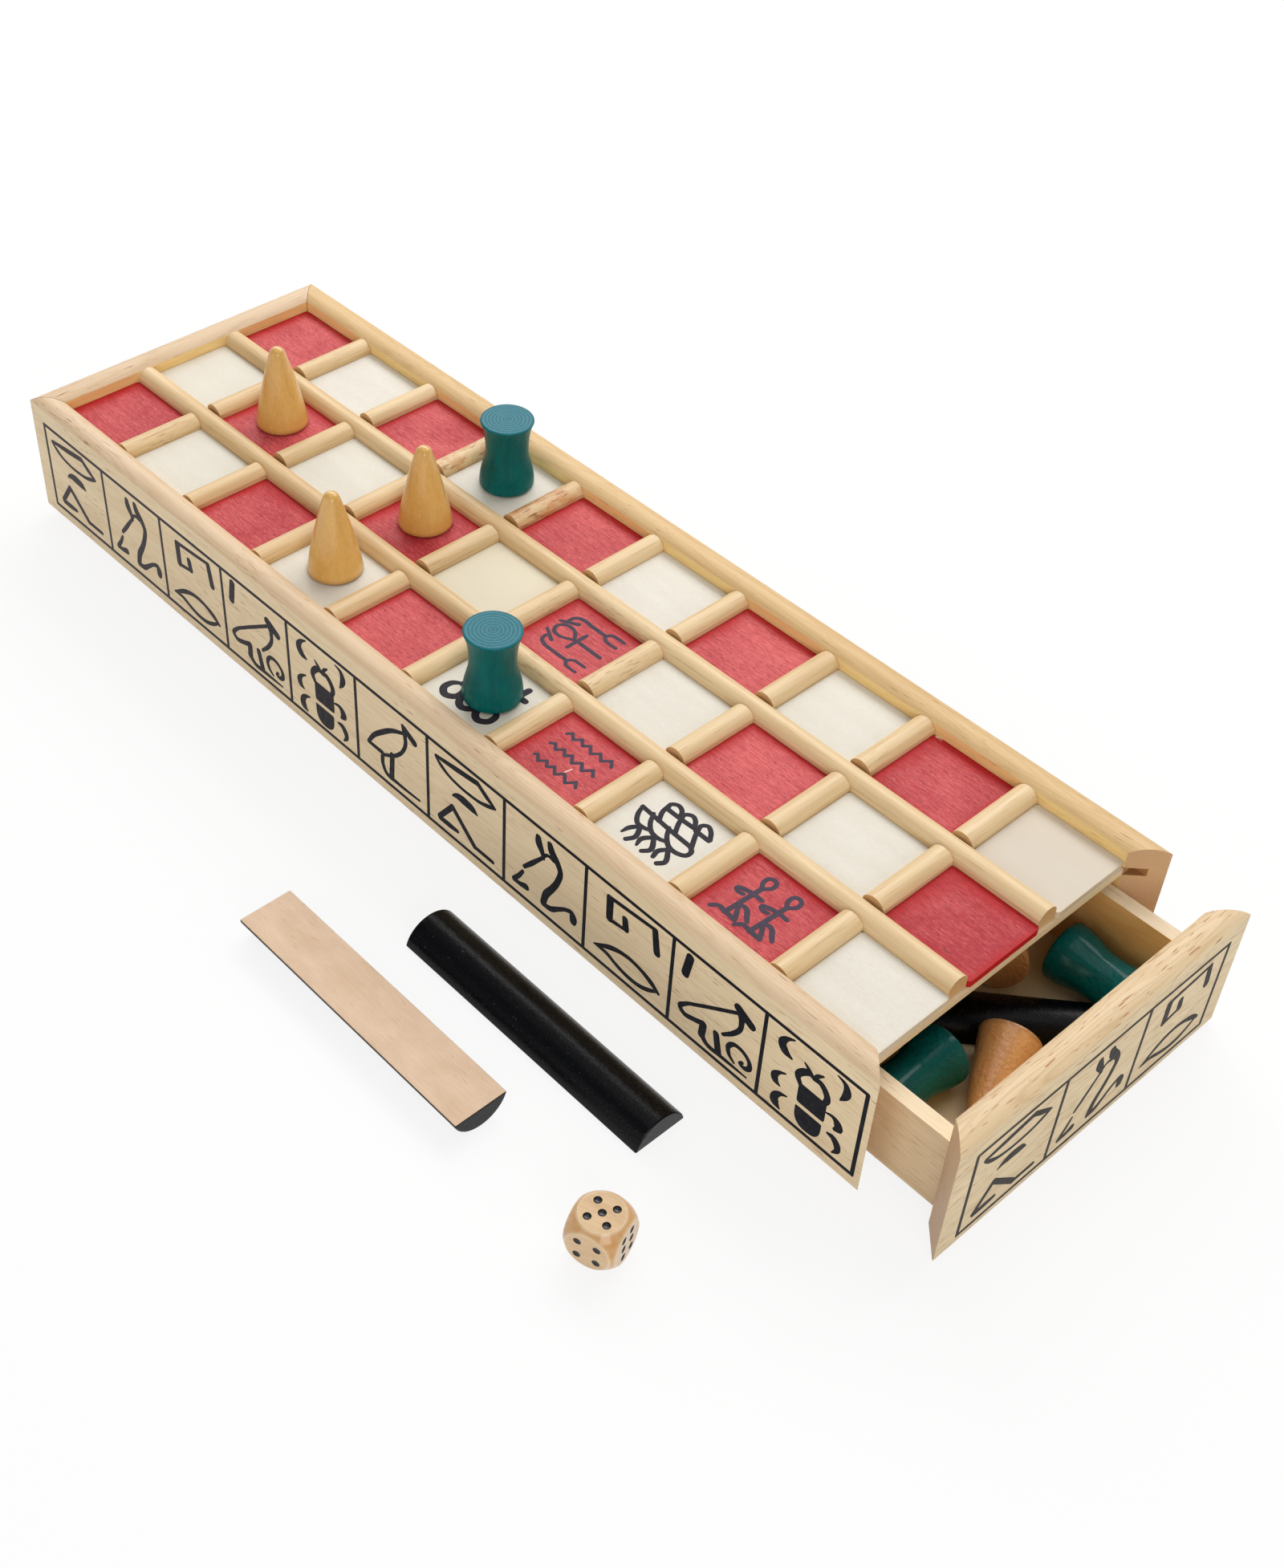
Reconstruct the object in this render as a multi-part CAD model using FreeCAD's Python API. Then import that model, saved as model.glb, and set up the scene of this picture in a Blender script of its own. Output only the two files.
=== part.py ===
import FreeCAD, Part
import math
import os

"""Senet game box: a 3 by 10 board on a shallow wooden case, with a drawer for the pieces.

Millimetres. X runs along the box and +X is the drawer's end, +Y is the far side and +Z is up.
The origin is the middle of the closed box's underside, on the table.
At rest the drawer stands a little open, five pieces are on the board, and two throwing sticks
and the die lie on the table beside the near side.
"""

os.makedirs("parts", exist_ok=True)
V = FreeCAD.Vector

# --- overall sizes of the case ---
box_length = 400.0
box_width = 124.0
side_height = 45.7          # from a side's lower edge to its outer top edge
side_thickness = 8.8

# --- the moulding that all four sides are cut from ---
crown_rise = 1.5            # the rounded top stands this much over the outer top edge
crown_place = 0.43          # the crown's highest line, as a share of the thickness from outside
inner_edge_drop = 0.4       # the inner top edge is this much lower than the outer one
foot_round = 1.2            # radius on the outer lower edge
groove_depth = 4.9
groove_fit = 0.1            # groove is this much taller than the panel, above and below

# --- floor under the sides ---
floor_thickness = 2.7
floor_inset = 2.5           # from the outer faces of the sides

# --- playing board ---
panel_thickness = 2.6
panel_edge_gap = 0.3        # between the panel's edge and the bottom of the groove
board_depth = 4.1           # from the sides' outer top edge down to the squares
square_thickness = 2.4
columns = 10
rows = 3
divider_width = 7.6
divider_rise = 4.1          # how far the dividers stand above the squares
divider_arch = 2.5          # height of a divider's rounded top
square_gap = 0.15           # around each square
square_corner = 1.2
long_divider_setback = 1.0  # from the panel's open edge
cross_divider_gap = 0.15    # at a cross divider's +Y end
cross_divider_short = 0.6   # least gap at its -Y end
cross_divider_spread = 0.35  # the gap at the -Y end grows by up to this much

# --- drawer ---
drawer_open = 26.7          # how far the drawer stands open at rest
mitre_gap = 0.2             # left between the closed drawer's front and the sides
front_floor_gap = 0.2       # the front's lower edge clears the table by this much
drawer_wall = 4.7
drawer_side_gap = 0.9       # each side, between the drawer and the case
drawer_slide_gap = 0.3      # between the drawer's bottom and the floor
drawer_bottom_thickness = 4.0
drawer_bottom_inset = 2.2
drawer_headroom = 4.8       # from the drawer walls' top to the board panel
drawer_back_gap = 1.5       # behind the closed drawer's back

# --- pins through the floor and the drawer's bottom ---
pin_shank_radius = 0.6
pin_head_radius = 1.3
pin_head_height = 0.6
pin_length = 11.0
pin_fit = 0.02
pin_end_margin = 22.0
floor_pins_per_side = 6
floor_pins_per_end = 3
drawer_pins_per_side = 5

# --- pieces ---
cone_radius = 9.25
cone_height = 30.5
cone_foot_round = 1.0
cone_tip_radius = 2.9       # of the ball that rounds the tip
cone_belly = 0.45           # how far the flank's middle swells out of a straight line
spool_foot_radius = 9.4
spool_top_radius = 9.15
spool_waist_radius = 7.35
spool_height = 26.0
spool_waist_height = 14.2
spool_foot_round = 1.5
spool_rim_round = 0.5
spool_top_flare = 0.42      # slope of the side where it meets the top's rim
stick_length = 99.0
stick_width = 18.7
stick_height = 7.6
stick_edge_round = 0.5
die_edge = 15.6
die_ball_radius = 10.1      # the sphere that rounds the die's corners
pip_radius = 1.2
pip_depth = 0.5
pip_spread = 2.85
six_row_spread = 3.6
six_column_spread = 2.1
rest_gap = 0.05             # under each loose piece, above what carries it

# --- where pieces stand on the board: column, row, and how far off the square's middle ---
standing_cones = [(1, 1, -0.6, 1.6), (3, 1, -0.5, 2.9), (3, 0, 0.1, 2.7)]
standing_spools = [(3, 2, 0.1, 0.4), (5, 0, 2.2, 1.2)]

# --- where pieces lie on the table, from the near side's outer face ---
dark_stick_x = 101.7
dark_stick_away = 25.6
pale_stick_x = 67.0
pale_stick_away = 60.2
die_x = 166.2
die_away = 62.0
die_turn = 18.2

# --- where pieces lie in the drawer ---
front_cone_from_front = 18.8    # cone_4's foot, from the drawer front
front_cone_from_spool = 17.8    # cone_4's foot, towards the far side from spool_4's foot
front_cone_turn = -69.0
near_spool_from_wall = 4.1      # spool_4's top, from the near wall
near_spool_from_cone = -0.3     # spool_4's side, from the middle of cone_4's foot
far_spool_from_front = 30.4     # spool_5's foot
far_spool_from_wall = 0.9       # spool_5's side, from the far wall
stick_from_wall = 0.9           # stick_3's lower corner, from the near wall
stick_from_spool = 4.1          # stick_3's upper corner, from under spool_5's middle
stick_from_cone = -5.85         # stick_3's side, from the rim of cone_4's foot
back_cone_along = 22.0          # cone_5's foot, along stick_3 from its middle
back_cone_from_stick = -4.3     # rim of cone_5's foot, from stick_3's side
back_cone_lean = 1.475          # cone_5's angle to the box's length, for each degree of stick_3's
back_spool_from_stick = 23.6    # spool_3's foot, behind stick_3's low end
back_spool_y = -17.0
back_spool_turn = 172.0
back_stick_from_cone = 41.7     # stick_4's end, behind cone_5's foot
back_stick_from_wall = 8.2      # stick_4's side, from the far wall

# --- worked out from the sizes above ---
half_length = box_length / 2
half_width = box_width / 2
side_bottom = floor_thickness
side_top = side_bottom + side_height
inner_x = half_length - side_thickness
inner_y = half_width - side_thickness
squares_top = side_top - board_depth
squares_bottom = squares_top - square_thickness
panel_bottom = squares_bottom - panel_thickness
row_opening = 2 * inner_y / rows - divider_width * (rows - 1) / rows
column_opening = 2 * inner_x / columns - divider_width * (columns - 1) / columns
row_pitch = row_opening + divider_width
column_pitch = column_opening + divider_width
groove_low = panel_bottom - groove_fit
groove_high = panel_bottom + panel_thickness + groove_fit
drawer_bottom_low = floor_thickness + drawer_slide_gap
drawer_inside_low = drawer_bottom_low + drawer_bottom_thickness
drawer_wall_top = panel_bottom - drawer_headroom
drawer_half_width = inner_y - drawer_side_gap
front_outer_x = half_length + drawer_open
front_inner_x = front_outer_x - side_thickness
drawer_inside_y = drawer_half_width - drawer_wall
drawer_back_x = drawer_open - mitre_gap + drawer_back_gap - inner_x


def box_between(low, high):
    """A block from its lowest corner to its highest one."""
    block = Part.makeBox(high[0] - low[0], high[1] - low[1], high[2] - low[2])
    block.translate(V(*low))
    return block


def write(name, shape):
    """Save one sub-part under its node's name."""
    shape.exportStep("parts/" + name + ".step")


# --- the case ---

def moulding_face(corner, inward, low, height, grooved):
    """The moulding's outline in the upright plane through corner, standing on low."""

    def at(depth, z):
        return corner + inward * depth + V(0, 0, z)

    top = low + height
    crown = at(side_thickness * crown_place, top + crown_rise)
    inner_top = at(side_thickness, top - inner_edge_drop)
    foot_bend = foot_round * (1 - math.cos(math.radians(45)))
    edges = [
        Part.LineSegment(at(0, low + foot_round), at(0, top)).toShape(),
        Part.Arc(at(0, top), crown, inner_top).toShape(),
    ]
    corners = [inner_top]
    if grooved:
        corners += [
            at(side_thickness, groove_high),
            at(side_thickness - groove_depth, groove_high),
            at(side_thickness - groove_depth, groove_low),
            at(side_thickness, groove_low),
        ]
    corners += [at(side_thickness, low), at(foot_round, low)]
    for start, stop in zip(corners, corners[1:]):
        edges.append(Part.LineSegment(start, stop).toShape())
    foot_middle = at(foot_bend, low + foot_bend)
    edges.append(Part.Arc(at(foot_round, low), foot_middle, at(0, low + foot_round)).toShape())
    return Part.Face(Part.Wire(edges))


def mitred_side(corner, along, inward, length, low, height, grooved):
    """One side of the frame: the moulding run along its outer face and mitred at both ends."""
    bar = moulding_face(corner, inward, low, height, grooved).extrude(along * length)
    plan = Part.makePolygon([
        corner,
        corner + along * length,
        corner + along * (length - side_thickness) + inward * side_thickness,
        corner + along * side_thickness + inward * side_thickness,
        corner,
    ])
    keep = Part.Face(plan).extrude(V(0, 0, low + height + 2 * crown_rise))
    return bar.common(keep)


def pin(x, y, low):
    """A flat-headed pin driven upwards, its head level with the surface it goes in at."""
    shank = Part.makeCylinder(pin_shank_radius, pin_length, V(x, y, low))
    head = Part.makeCone(pin_head_radius, pin_shank_radius, pin_head_height, V(x, y, low))
    return shank.fuse(head)


def pin_hole(x, y, low):
    """The hole that a pin leaves in what it fastens."""
    shank = Part.makeCylinder(pin_shank_radius + pin_fit, pin_length + pin_fit, V(x, y, low))
    head = Part.makeCone(
        pin_head_radius + pin_fit, pin_shank_radius + pin_fit, pin_head_height, V(x, y, low)
    )
    return shank.fuse(head)


def spaced(first, last, count):
    """Places at equal steps from first to last, both included."""
    return [first + (last - first) * i / (count - 1) for i in range(count)]


def floor_pin_places():
    """Along both long sides and the end, over the middle of the sides' thickness."""
    line_y = half_width - side_thickness / 2
    line_x = half_length - side_thickness / 2
    places = []
    for x in spaced(-half_length + pin_end_margin, half_length - pin_end_margin, floor_pins_per_side):
        places += [(x, -line_y), (x, line_y)]
    for y in spaced(-half_width + pin_end_margin, half_width - pin_end_margin, floor_pins_per_end):
        places.append((-line_x, y))
    return places


def make_case():
    """Floor, three fixed sides and the pins that hold them together."""
    x_axis = V(1, 0, 0)
    y_axis = V(0, 1, 0)
    near = mitred_side(
        V(-half_length, -half_width, 0), x_axis, y_axis, box_length, side_bottom, side_height, True
    )
    far = mitred_side(
        V(half_length, half_width, 0), -x_axis, -y_axis, box_length, side_bottom, side_height, True
    )
    end = mitred_side(
        V(-half_length, half_width, 0), -y_axis, x_axis, box_width, side_bottom, side_height, True
    )
    floor = box_between(
        (-half_length + floor_inset, -half_width + floor_inset, 0),
        (inner_x, half_width - floor_inset, floor_thickness),
    )
    places = floor_pin_places()
    holes = Part.makeCompound([pin_hole(x, y, 0) for x, y in places])
    write("near_side_rail", near.cut(holes))
    write("far_side_rail", far.cut(holes))
    write("end_rail", end.cut(holes))
    write("floor_panel", floor.cut(holes))
    write("floor_pins", Part.makeCompound([pin(x, y, 0) for x, y in places]))


# --- the playing board ---

def row_centre(row):
    """Y of a row's middle line; row 0 is the near one."""
    return (row - (rows - 1) / 2) * row_pitch


def column_centre(column):
    """X of a column's middle line; column 0 is at the closed end."""
    return (column - (columns - 1) / 2) * column_pitch


def divider_bar(start, along, length):
    """A strip with upright sides and a rounded top, standing on the panel."""
    across = V(-along.y, along.x, 0)
    half = divider_width / 2
    low = squares_bottom
    high = squares_top + divider_rise
    shoulder = high - divider_arch
    outline = [
        start - across * half + V(0, 0, low),
        start + across * half + V(0, 0, low),
        start + across * half + V(0, 0, shoulder),
        start - across * half + V(0, 0, shoulder),
    ]
    edges = [
        Part.LineSegment(outline[3], outline[0]).toShape(),
        Part.LineSegment(outline[0], outline[1]).toShape(),
        Part.LineSegment(outline[1], outline[2]).toShape(),
        Part.Arc(outline[2], start + V(0, 0, high), outline[3]).toShape(),
    ]
    return Part.Face(Part.Wire(edges)).extrude(along * length)


def square_plate(column, row):
    """One square of the board, loose by a hair between its dividers."""
    long_side = column_opening / 2 - square_gap
    short_side = row_opening / 2 - square_gap
    x = column_centre(column)
    y = row_centre(row)
    plate = box_between(
        (x - long_side, y - short_side, squares_bottom), (x + long_side, y + short_side, squares_top)
    )
    upright = [e for e in plate.Edges if abs(e.tangentAt(e.FirstParameter).z) > 0.5]
    return plate.makeFillet(square_corner, upright)


def make_board():
    """Panel in the sides' grooves, with its squares and its dividers glued on top."""
    reach = side_thickness - groove_depth + panel_edge_gap
    panel = box_between(
        (-half_length + reach, -half_width + reach, panel_bottom),
        (inner_x, half_width - reach, squares_bottom),
    )
    write("board_panel", panel)

    for row, name in enumerate(("near", "far")):
        y = row_centre(row) + row_pitch / 2
        length = 2 * inner_x - long_divider_setback
        write("long_divider_" + name, divider_bar(V(-inner_x, y, 0), V(1, 0, 0), length))

    for row, name in enumerate(("near", "middle", "far")):
        for column in range(1, columns):
            x = column_centre(column) - column_pitch / 2
            share = (column * 7 + row * 4) % 5 / 4
            short = cross_divider_short + cross_divider_spread * share
            start = row_centre(row) - row_opening / 2 + short
            length = row_opening - short - cross_divider_gap
            bar = divider_bar(V(x, start, 0), V(0, 1, 0), length)
            write("cross_divider_%s_%d" % (name, column), bar)

    red = []
    plain = []
    for column in range(columns):
        for row in range(rows):
            plates = red if (column + row) % 2 == 0 else plain
            plates.append(square_plate(column, row))
    write("red_squares", Part.makeCompound(red))
    write("plain_squares", Part.makeCompound(plain))


# --- the drawer ---

def make_drawer():
    """Front, two sides and back on a bottom that is pinned on from below."""
    front = mitred_side(
        V(front_outer_x, -half_width, 0), V(0, 1, 0), V(-1, 0, 0), box_width,
        front_floor_gap, side_height - front_floor_gap, False,
    )
    write("drawer_front", front)

    pin_y = drawer_half_width - (drawer_bottom_inset + drawer_wall) / 2
    first = drawer_back_x + pin_end_margin
    last = front_inner_x - pin_end_margin
    places = [(x, s * pin_y) for x in spaced(first, last, drawer_pins_per_side) for s in (-1, 1)]
    holes = Part.makeCompound([pin_hole(x, y, drawer_bottom_low) for x, y in places])

    bottom = box_between(
        (drawer_back_x + drawer_bottom_inset, -drawer_half_width + drawer_bottom_inset, drawer_bottom_low),
        (front_inner_x, drawer_half_width - drawer_bottom_inset, drawer_inside_low),
    )
    write("drawer_bottom", bottom.cut(holes))

    for name, y_low, y_high in (
        ("near", -drawer_half_width, -drawer_inside_y),
        ("far", drawer_inside_y, drawer_half_width),
    ):
        wall = box_between(
            (drawer_back_x, y_low, drawer_inside_low), (front_inner_x, y_high, drawer_wall_top)
        )
        write("drawer_side_" + name, wall.cut(holes))

    back = box_between(
        (drawer_back_x, -drawer_inside_y, drawer_inside_low),
        (drawer_back_x + drawer_wall, drawer_inside_y, drawer_wall_top),
    )
    write("drawer_back", back)
    write("drawer_pins", Part.makeCompound([pin(x, y, drawer_bottom_low) for x, y in places]))


# --- the pieces ---

def turned(edges):
    """A solid of revolution about Z from a profile that starts and ends on the axis."""
    face = Part.Face(Part.Wire(edges))
    return face.revolve(V(0, 0, 0), V(0, 0, 1), 360)


def cone_slope():
    """Degrees between a cone's flank and its axis."""
    rise = cone_height - cone_tip_radius - cone_foot_round
    return math.degrees(math.atan2(cone_radius - cone_tip_radius, rise))


def on_tip_ball(degrees_up):
    """A point of the tip's ball, from the ball's middle, this many degrees above level."""
    angle = math.radians(degrees_up)
    return V(cone_tip_radius * math.cos(angle), 0, cone_tip_radius * math.sin(angle))


def cone_piece():
    """Turned cone with a slight belly, an eased foot and a rounded tip, standing on z = 0."""
    bend = cone_foot_round * (1 - math.cos(math.radians(45)))
    foot = V(cone_radius - cone_foot_round, 0, 0)
    flank_low = V(cone_radius, 0, cone_foot_round)
    tip_centre = V(0, 0, cone_height - cone_tip_radius)
    tip_start = cone_slope()
    flank_high = tip_centre + on_tip_ball(tip_start)
    middle = (flank_low + flank_high) * 0.5 + V(cone_belly, 0, 0)
    tip_bend = tip_centre + on_tip_ball((tip_start + 90) / 2)
    top = V(0, 0, cone_height)
    return turned([
        Part.LineSegment(V(0, 0, 0), foot).toShape(),
        Part.Arc(foot, V(cone_radius - bend, 0, bend), flank_low).toShape(),
        Part.Arc(flank_low, middle, flank_high).toShape(),
        Part.Arc(flank_high, tip_bend, top).toShape(),
        Part.LineSegment(top, V(0, 0, 0)).toShape(),
    ])


def spool_piece():
    """Turned spool with a narrow waist and a flat top, standing on z = 0."""
    foot_bend = spool_foot_round * (1 - math.cos(math.radians(45)))
    rim_bend = spool_rim_round * (1 - math.cos(math.radians(45)))
    foot = V(spool_foot_radius - spool_foot_round, 0, 0)
    foot_side = V(spool_foot_radius, 0, spool_foot_round)
    waist = V(spool_waist_radius, 0, spool_waist_height)
    rim_side = V(spool_top_radius, 0, spool_height - spool_rim_round)
    rim = V(spool_top_radius - spool_rim_round, 0, spool_height)
    foot_middle = V(spool_foot_radius - foot_bend, 0, foot_bend)
    rim_middle = V(spool_top_radius - rim_bend, 0, spool_height - rim_bend)
    body = Part.BSplineCurve()
    body.interpolate(
        Points=[foot_side, waist, rim_side],
        Tangents=[V(0, 0, 1), V(0, 0, 1), V(spool_top_flare, 0, 1)],
        TangentFlags=[True, True, True],
    )
    return turned([
        Part.LineSegment(V(0, 0, 0), foot).toShape(),
        Part.Arc(foot, foot_middle, foot_side).toShape(),
        body.toShape(),
        Part.Arc(rim_side, rim_middle, rim).toShape(),
        Part.LineSegment(rim, V(0, 0, spool_height)).toShape(),
        Part.LineSegment(V(0, 0, spool_height), V(0, 0, 0)).toShape(),
    ])


def stick_piece():
    """Throwing stick with a rounded back and a flat face down on z = 0, along X."""
    half = stick_width / 2
    start = -stick_length / 2
    left = V(start, -half, 0)
    right = V(start, half, 0)
    face = Part.Face(Part.Wire([
        Part.Arc(left, V(start, 0, stick_height), right).toShape(),
        Part.LineSegment(right, left).toShape(),
    ]))
    bar = face.extrude(V(stick_length, 0, 0))
    return bar.makeFillet(stick_edge_round, bar.Edges)


def pip_places(count):
    """Where the pips of one face lie, from its middle."""
    near = pip_spread
    corners = [(-near, -near), (near, near), (-near, near), (near, -near)]
    if count == 6:
        lines = (-six_column_spread, six_column_spread)
        return [(a, b * six_row_spread) for a in lines for b in (-1, 0, 1)]
    middle = [(0, 0)] if count % 2 else []
    return corners[: count - len(middle)] + middle


def die_piece():
    """Die with ball-rounded corners and shallow round pips, centred on the origin."""
    half = die_edge / 2
    body = box_between((-half, -half, -half), (half, half, half))
    body = body.common(Part.makeSphere(die_ball_radius))
    ball = (pip_radius ** 2 + pip_depth ** 2) / (2 * pip_depth)
    lift = half + ball - pip_depth
    faces = {
        5: (V(0, 0, 1), V(1, 0, 0)),
        2: (V(0, 0, -1), V(1, 0, 0)),
        6: (V(1, 0, 0), V(0, 1, 0)),
        1: (V(-1, 0, 0), V(0, 1, 0)),
        4: (V(0, -1, 0), V(1, 0, 0)),
        3: (V(0, 1, 0), V(1, 0, 0)),
    }
    for count, (outward, across) in faces.items():
        upward = outward.cross(across)
        for a, b in pip_places(count):
            body = body.cut(Part.makeSphere(ball, outward * lift + across * a + upward * b))
    return body


def placed(shape, turn, spot):
    """A copy of shape, turned and then moved to spot."""
    copy = shape.copy()
    copy.Placement = FreeCAD.Placement(spot, turn)
    return copy


def upright(turn_degrees):
    """A turn about the vertical."""
    return FreeCAD.Rotation(V(0, 0, 1), turn_degrees)


def rolled_over():
    """A half turn about X, which puts a stick's flat face up."""
    return FreeCAD.Rotation(V(1, 0, 0), 180)


def lying(direction_degrees, dip_degrees):
    """The turn that lays a standing piece down: its top points along the direction and dips."""
    lean = FreeCAD.Rotation(V(0, 1, 0), 90 + dip_degrees)
    return upright(direction_degrees).multiply(lean)


def lying_cone(cone, foot, direction_degrees):
    """A cone on its flank on the drawer's bottom, the middle of its foot over foot."""
    turn = lying(direction_degrees, cone_slope())
    flat = placed(cone, turn, V(0, 0, 0))
    lift = drawer_inside_low + rest_gap - flat.optimalBoundingBox(False).ZMin
    return placed(cone, turn, V(foot.x, foot.y, lift))


def lying_spool(spool, foot, direction_degrees):
    """A spool on its side on the drawer's bottom, the middle of its foot over foot."""
    lift = drawer_inside_low + rest_gap + spool_foot_radius
    return placed(spool, lying(direction_degrees, 0), V(foot.x, foot.y, lift))


def make_board_pieces(cone, spool):
    """Three cones and two spools standing on squares."""
    height = squares_top + rest_gap
    for name, piece, places in (("cone", cone, standing_cones), ("spool", spool, standing_spools)):
        for number, (column, row, dx, dy) in enumerate(places, 1):
            spot = V(column_centre(column) + dx, row_centre(row) + dy, height)
            write("%s_%d" % (name, number), placed(piece, upright(0), spot))


def make_table_pieces(stick):
    """Two throwing sticks, one with its flat face up, and the die, beside the near side."""
    spot = V(dark_stick_x, -half_width - dark_stick_away, rest_gap)
    write("stick_1", placed(stick, upright(0), spot))
    spot = V(pale_stick_x, -half_width - pale_stick_away, stick_height + rest_gap)
    write("stick_2", placed(stick, rolled_over(), spot))
    spot = V(die_x, -half_width - die_away, die_edge / 2 + rest_gap)
    write("die", placed(die_piece(), upright(die_turn), spot))


def make_stowed_pieces(cone, spool, stick):
    """Two cones, three spools and two sticks lying in the drawer, each clear of the next."""
    near_top = -drawer_inside_y + near_spool_from_wall
    front_foot = V(front_inner_x - front_cone_from_front, 0, 0)
    near_foot = V(front_foot.x - near_spool_from_cone - spool_foot_radius, near_top + spool_height, 0)
    front_foot.y = near_foot.y + front_cone_from_spool
    far_foot = V(
        front_inner_x - far_spool_from_front, drawer_inside_y - far_spool_from_wall - spool_foot_radius, 0
    )
    write("cone_4", lying_cone(cone, front_foot, front_cone_turn))
    write("spool_4", lying_spool(spool, near_foot, -90))
    write("spool_5", lying_spool(spool, far_foot, 0))

    # stick_3 leans across the drawer, from the near wall to spool_5, past cone_4's foot
    low_y = -drawer_inside_y + stick_from_wall
    high_y = far_foot.y - stick_from_spool
    diagonal = math.hypot(stick_length, stick_width)
    lean = math.asin((high_y - low_y) / diagonal) - math.atan2(stick_width, stick_length)
    along = V(math.cos(lean), math.sin(lean), 0)
    across = V(-along.y, along.x, 0)
    away = stick_width / 2 + cone_radius + stick_from_cone
    middle_y = (low_y + high_y) / 2
    middle_x = front_foot.x + (away - across.y * (middle_y - front_foot.y)) / across.x
    middle = V(middle_x, middle_y, 0)
    on_floor = V(0, 0, drawer_inside_low + rest_gap)
    lean_degrees = math.degrees(lean)
    write("stick_3", placed(stick, upright(lean_degrees), middle + on_floor))

    back_away = stick_width / 2 + cone_radius + back_cone_from_stick
    back_foot = middle + along * back_cone_along + across * back_away
    write("cone_5", lying_cone(cone, back_foot, 180 - back_cone_lean * lean_degrees))

    low_end = middle - along * (stick_length / 2)
    spool_foot = V(low_end.x - back_spool_from_stick, back_spool_y, 0)
    write("spool_3", lying_spool(spool, spool_foot, back_spool_turn))
    back_middle = V(
        back_foot.x - back_stick_from_cone - stick_length / 2,
        drawer_inside_y - back_stick_from_wall - stick_width / 2,
        stick_height,
    )
    write("stick_4", placed(stick, rolled_over(), back_middle + on_floor))


def make_pieces():
    """Five cones, five spools, four sticks and a die, where they stand or lie."""
    cone = cone_piece()
    spool = spool_piece()
    stick = stick_piece()
    make_board_pieces(cone, spool)
    make_table_pieces(stick)
    make_stowed_pieces(cone, spool, stick)


make_case()
make_board()
make_drawer()
make_pieces()
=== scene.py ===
"""Looks of a senet game box: wood finishes, painted signs, studio and camera around the CAD frame.

Lengths are millimetres, as in the model's source, unless a docstring says metres. Meshes, the
studio and the camera are in metres.
"""
import itertools
import logging
import math
from dataclasses import dataclass, field
from enum import Enum
from typing import Any, Sequence

import bpy
import numpy as np
from mathutils import Matrix, Vector


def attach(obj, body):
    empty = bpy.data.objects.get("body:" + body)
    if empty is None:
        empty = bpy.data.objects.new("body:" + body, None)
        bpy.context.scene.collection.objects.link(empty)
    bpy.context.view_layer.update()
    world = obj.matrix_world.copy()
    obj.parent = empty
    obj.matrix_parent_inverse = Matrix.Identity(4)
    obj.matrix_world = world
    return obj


log = logging.getLogger("senet_box")
MM = 0.001
TINY = 1e-9
Rgb = tuple[int, int, int]
Place = tuple[float, float, float]
Knot = tuple[float, float, float]
Cell = tuple[int, int]
Socket = bpy.types.NodeSocket
Material = bpy.types.Material
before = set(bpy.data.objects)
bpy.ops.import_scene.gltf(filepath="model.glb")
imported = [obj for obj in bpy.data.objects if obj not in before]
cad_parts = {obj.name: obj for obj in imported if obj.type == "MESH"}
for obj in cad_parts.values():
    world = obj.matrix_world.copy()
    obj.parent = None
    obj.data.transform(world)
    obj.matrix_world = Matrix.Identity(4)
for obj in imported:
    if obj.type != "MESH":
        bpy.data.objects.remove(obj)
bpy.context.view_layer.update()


def paint(red: int, green: int, blue: int) -> tuple[float, float, float, float]:
    """Linear colour of a screen colour written as three numbers up to 255.

    Args:
        red: Red share.
        green: Green share.
        blue: Blue share.

    Returns:
        Linear red, green, blue and a full alpha.
    """
    shares = [c / 255 for c in (red, green, blue)]
    r, g, b = (c / 12.92 if c <= 0.04045 else ((c + 0.055) / 1.055) ** 2.4 for c in shares)
    return (r, g, b, 1.0)


# --- shader tools ---


class Value:
    """A shader number; Python arithmetic on it adds Math nodes."""

    def __init__(self, graph: "Nodes", socket: Socket) -> None:
        """Wraps one output socket of a node tree."""
        self.graph = graph
        self.socket = socket

    def math(self, operation: str, *others: "Value | float", first: bool = True) -> "Value":
        """Adds a Math node.

        Args:
            operation: The node's operation.
            others: The other operands.
            first: Whether this value is the first operand.

        Returns:
            The node's result.
        """
        operands = [self, *others] if first else [*others, self]
        node = self.graph.node("ShaderNodeMath", {"operation": operation}, dict(enumerate(operands)))
        return Value(self.graph, node.outputs[0])

    def __add__(self, other: "Value | float") -> "Value":
        """Sum."""
        return self.math("ADD", other)

    __radd__ = __add__

    def __mul__(self, other: "Value | float") -> "Value":
        """Product."""
        return self.math("MULTIPLY", other)

    __rmul__ = __mul__

    def __sub__(self, other: "Value | float") -> "Value":
        """Difference."""
        return self.math("SUBTRACT", other)

    def __rsub__(self, other: "Value | float") -> "Value":
        """Difference from a number on the left."""
        return self.math("SUBTRACT", other, first=False)

    def __truediv__(self, other: "Value | float") -> "Value":
        """Quotient."""
        return self.math("DIVIDE", other)

    def __rtruediv__(self, other: "Value | float") -> "Value":
        """Quotient of a number on the left."""
        return self.math("DIVIDE", other, first=False)

    def __abs__(self) -> "Value":
        """Size without its sign."""
        return self.math("ABSOLUTE")

    def rising(self, low: float, high: float) -> "Value":
        """Smooth step from 0 at low to 1 at high.

        Args:
            low: Where the step starts; above high, the step falls instead.
            high: Where it ends.

        Returns:
            The step.
        """
        links = {"Value": self, "From Min": min(low, high), "From Max": max(low, high)}
        links |= {"To Min": 0.0 if low < high else 1.0, "To Max": 1.0 if low < high else 0.0}
        node = self.graph.node("ShaderNodeMapRange", {"interpolation_type": "SMOOTHSTEP"}, links)
        return Value(self.graph, node.outputs[0])


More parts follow.
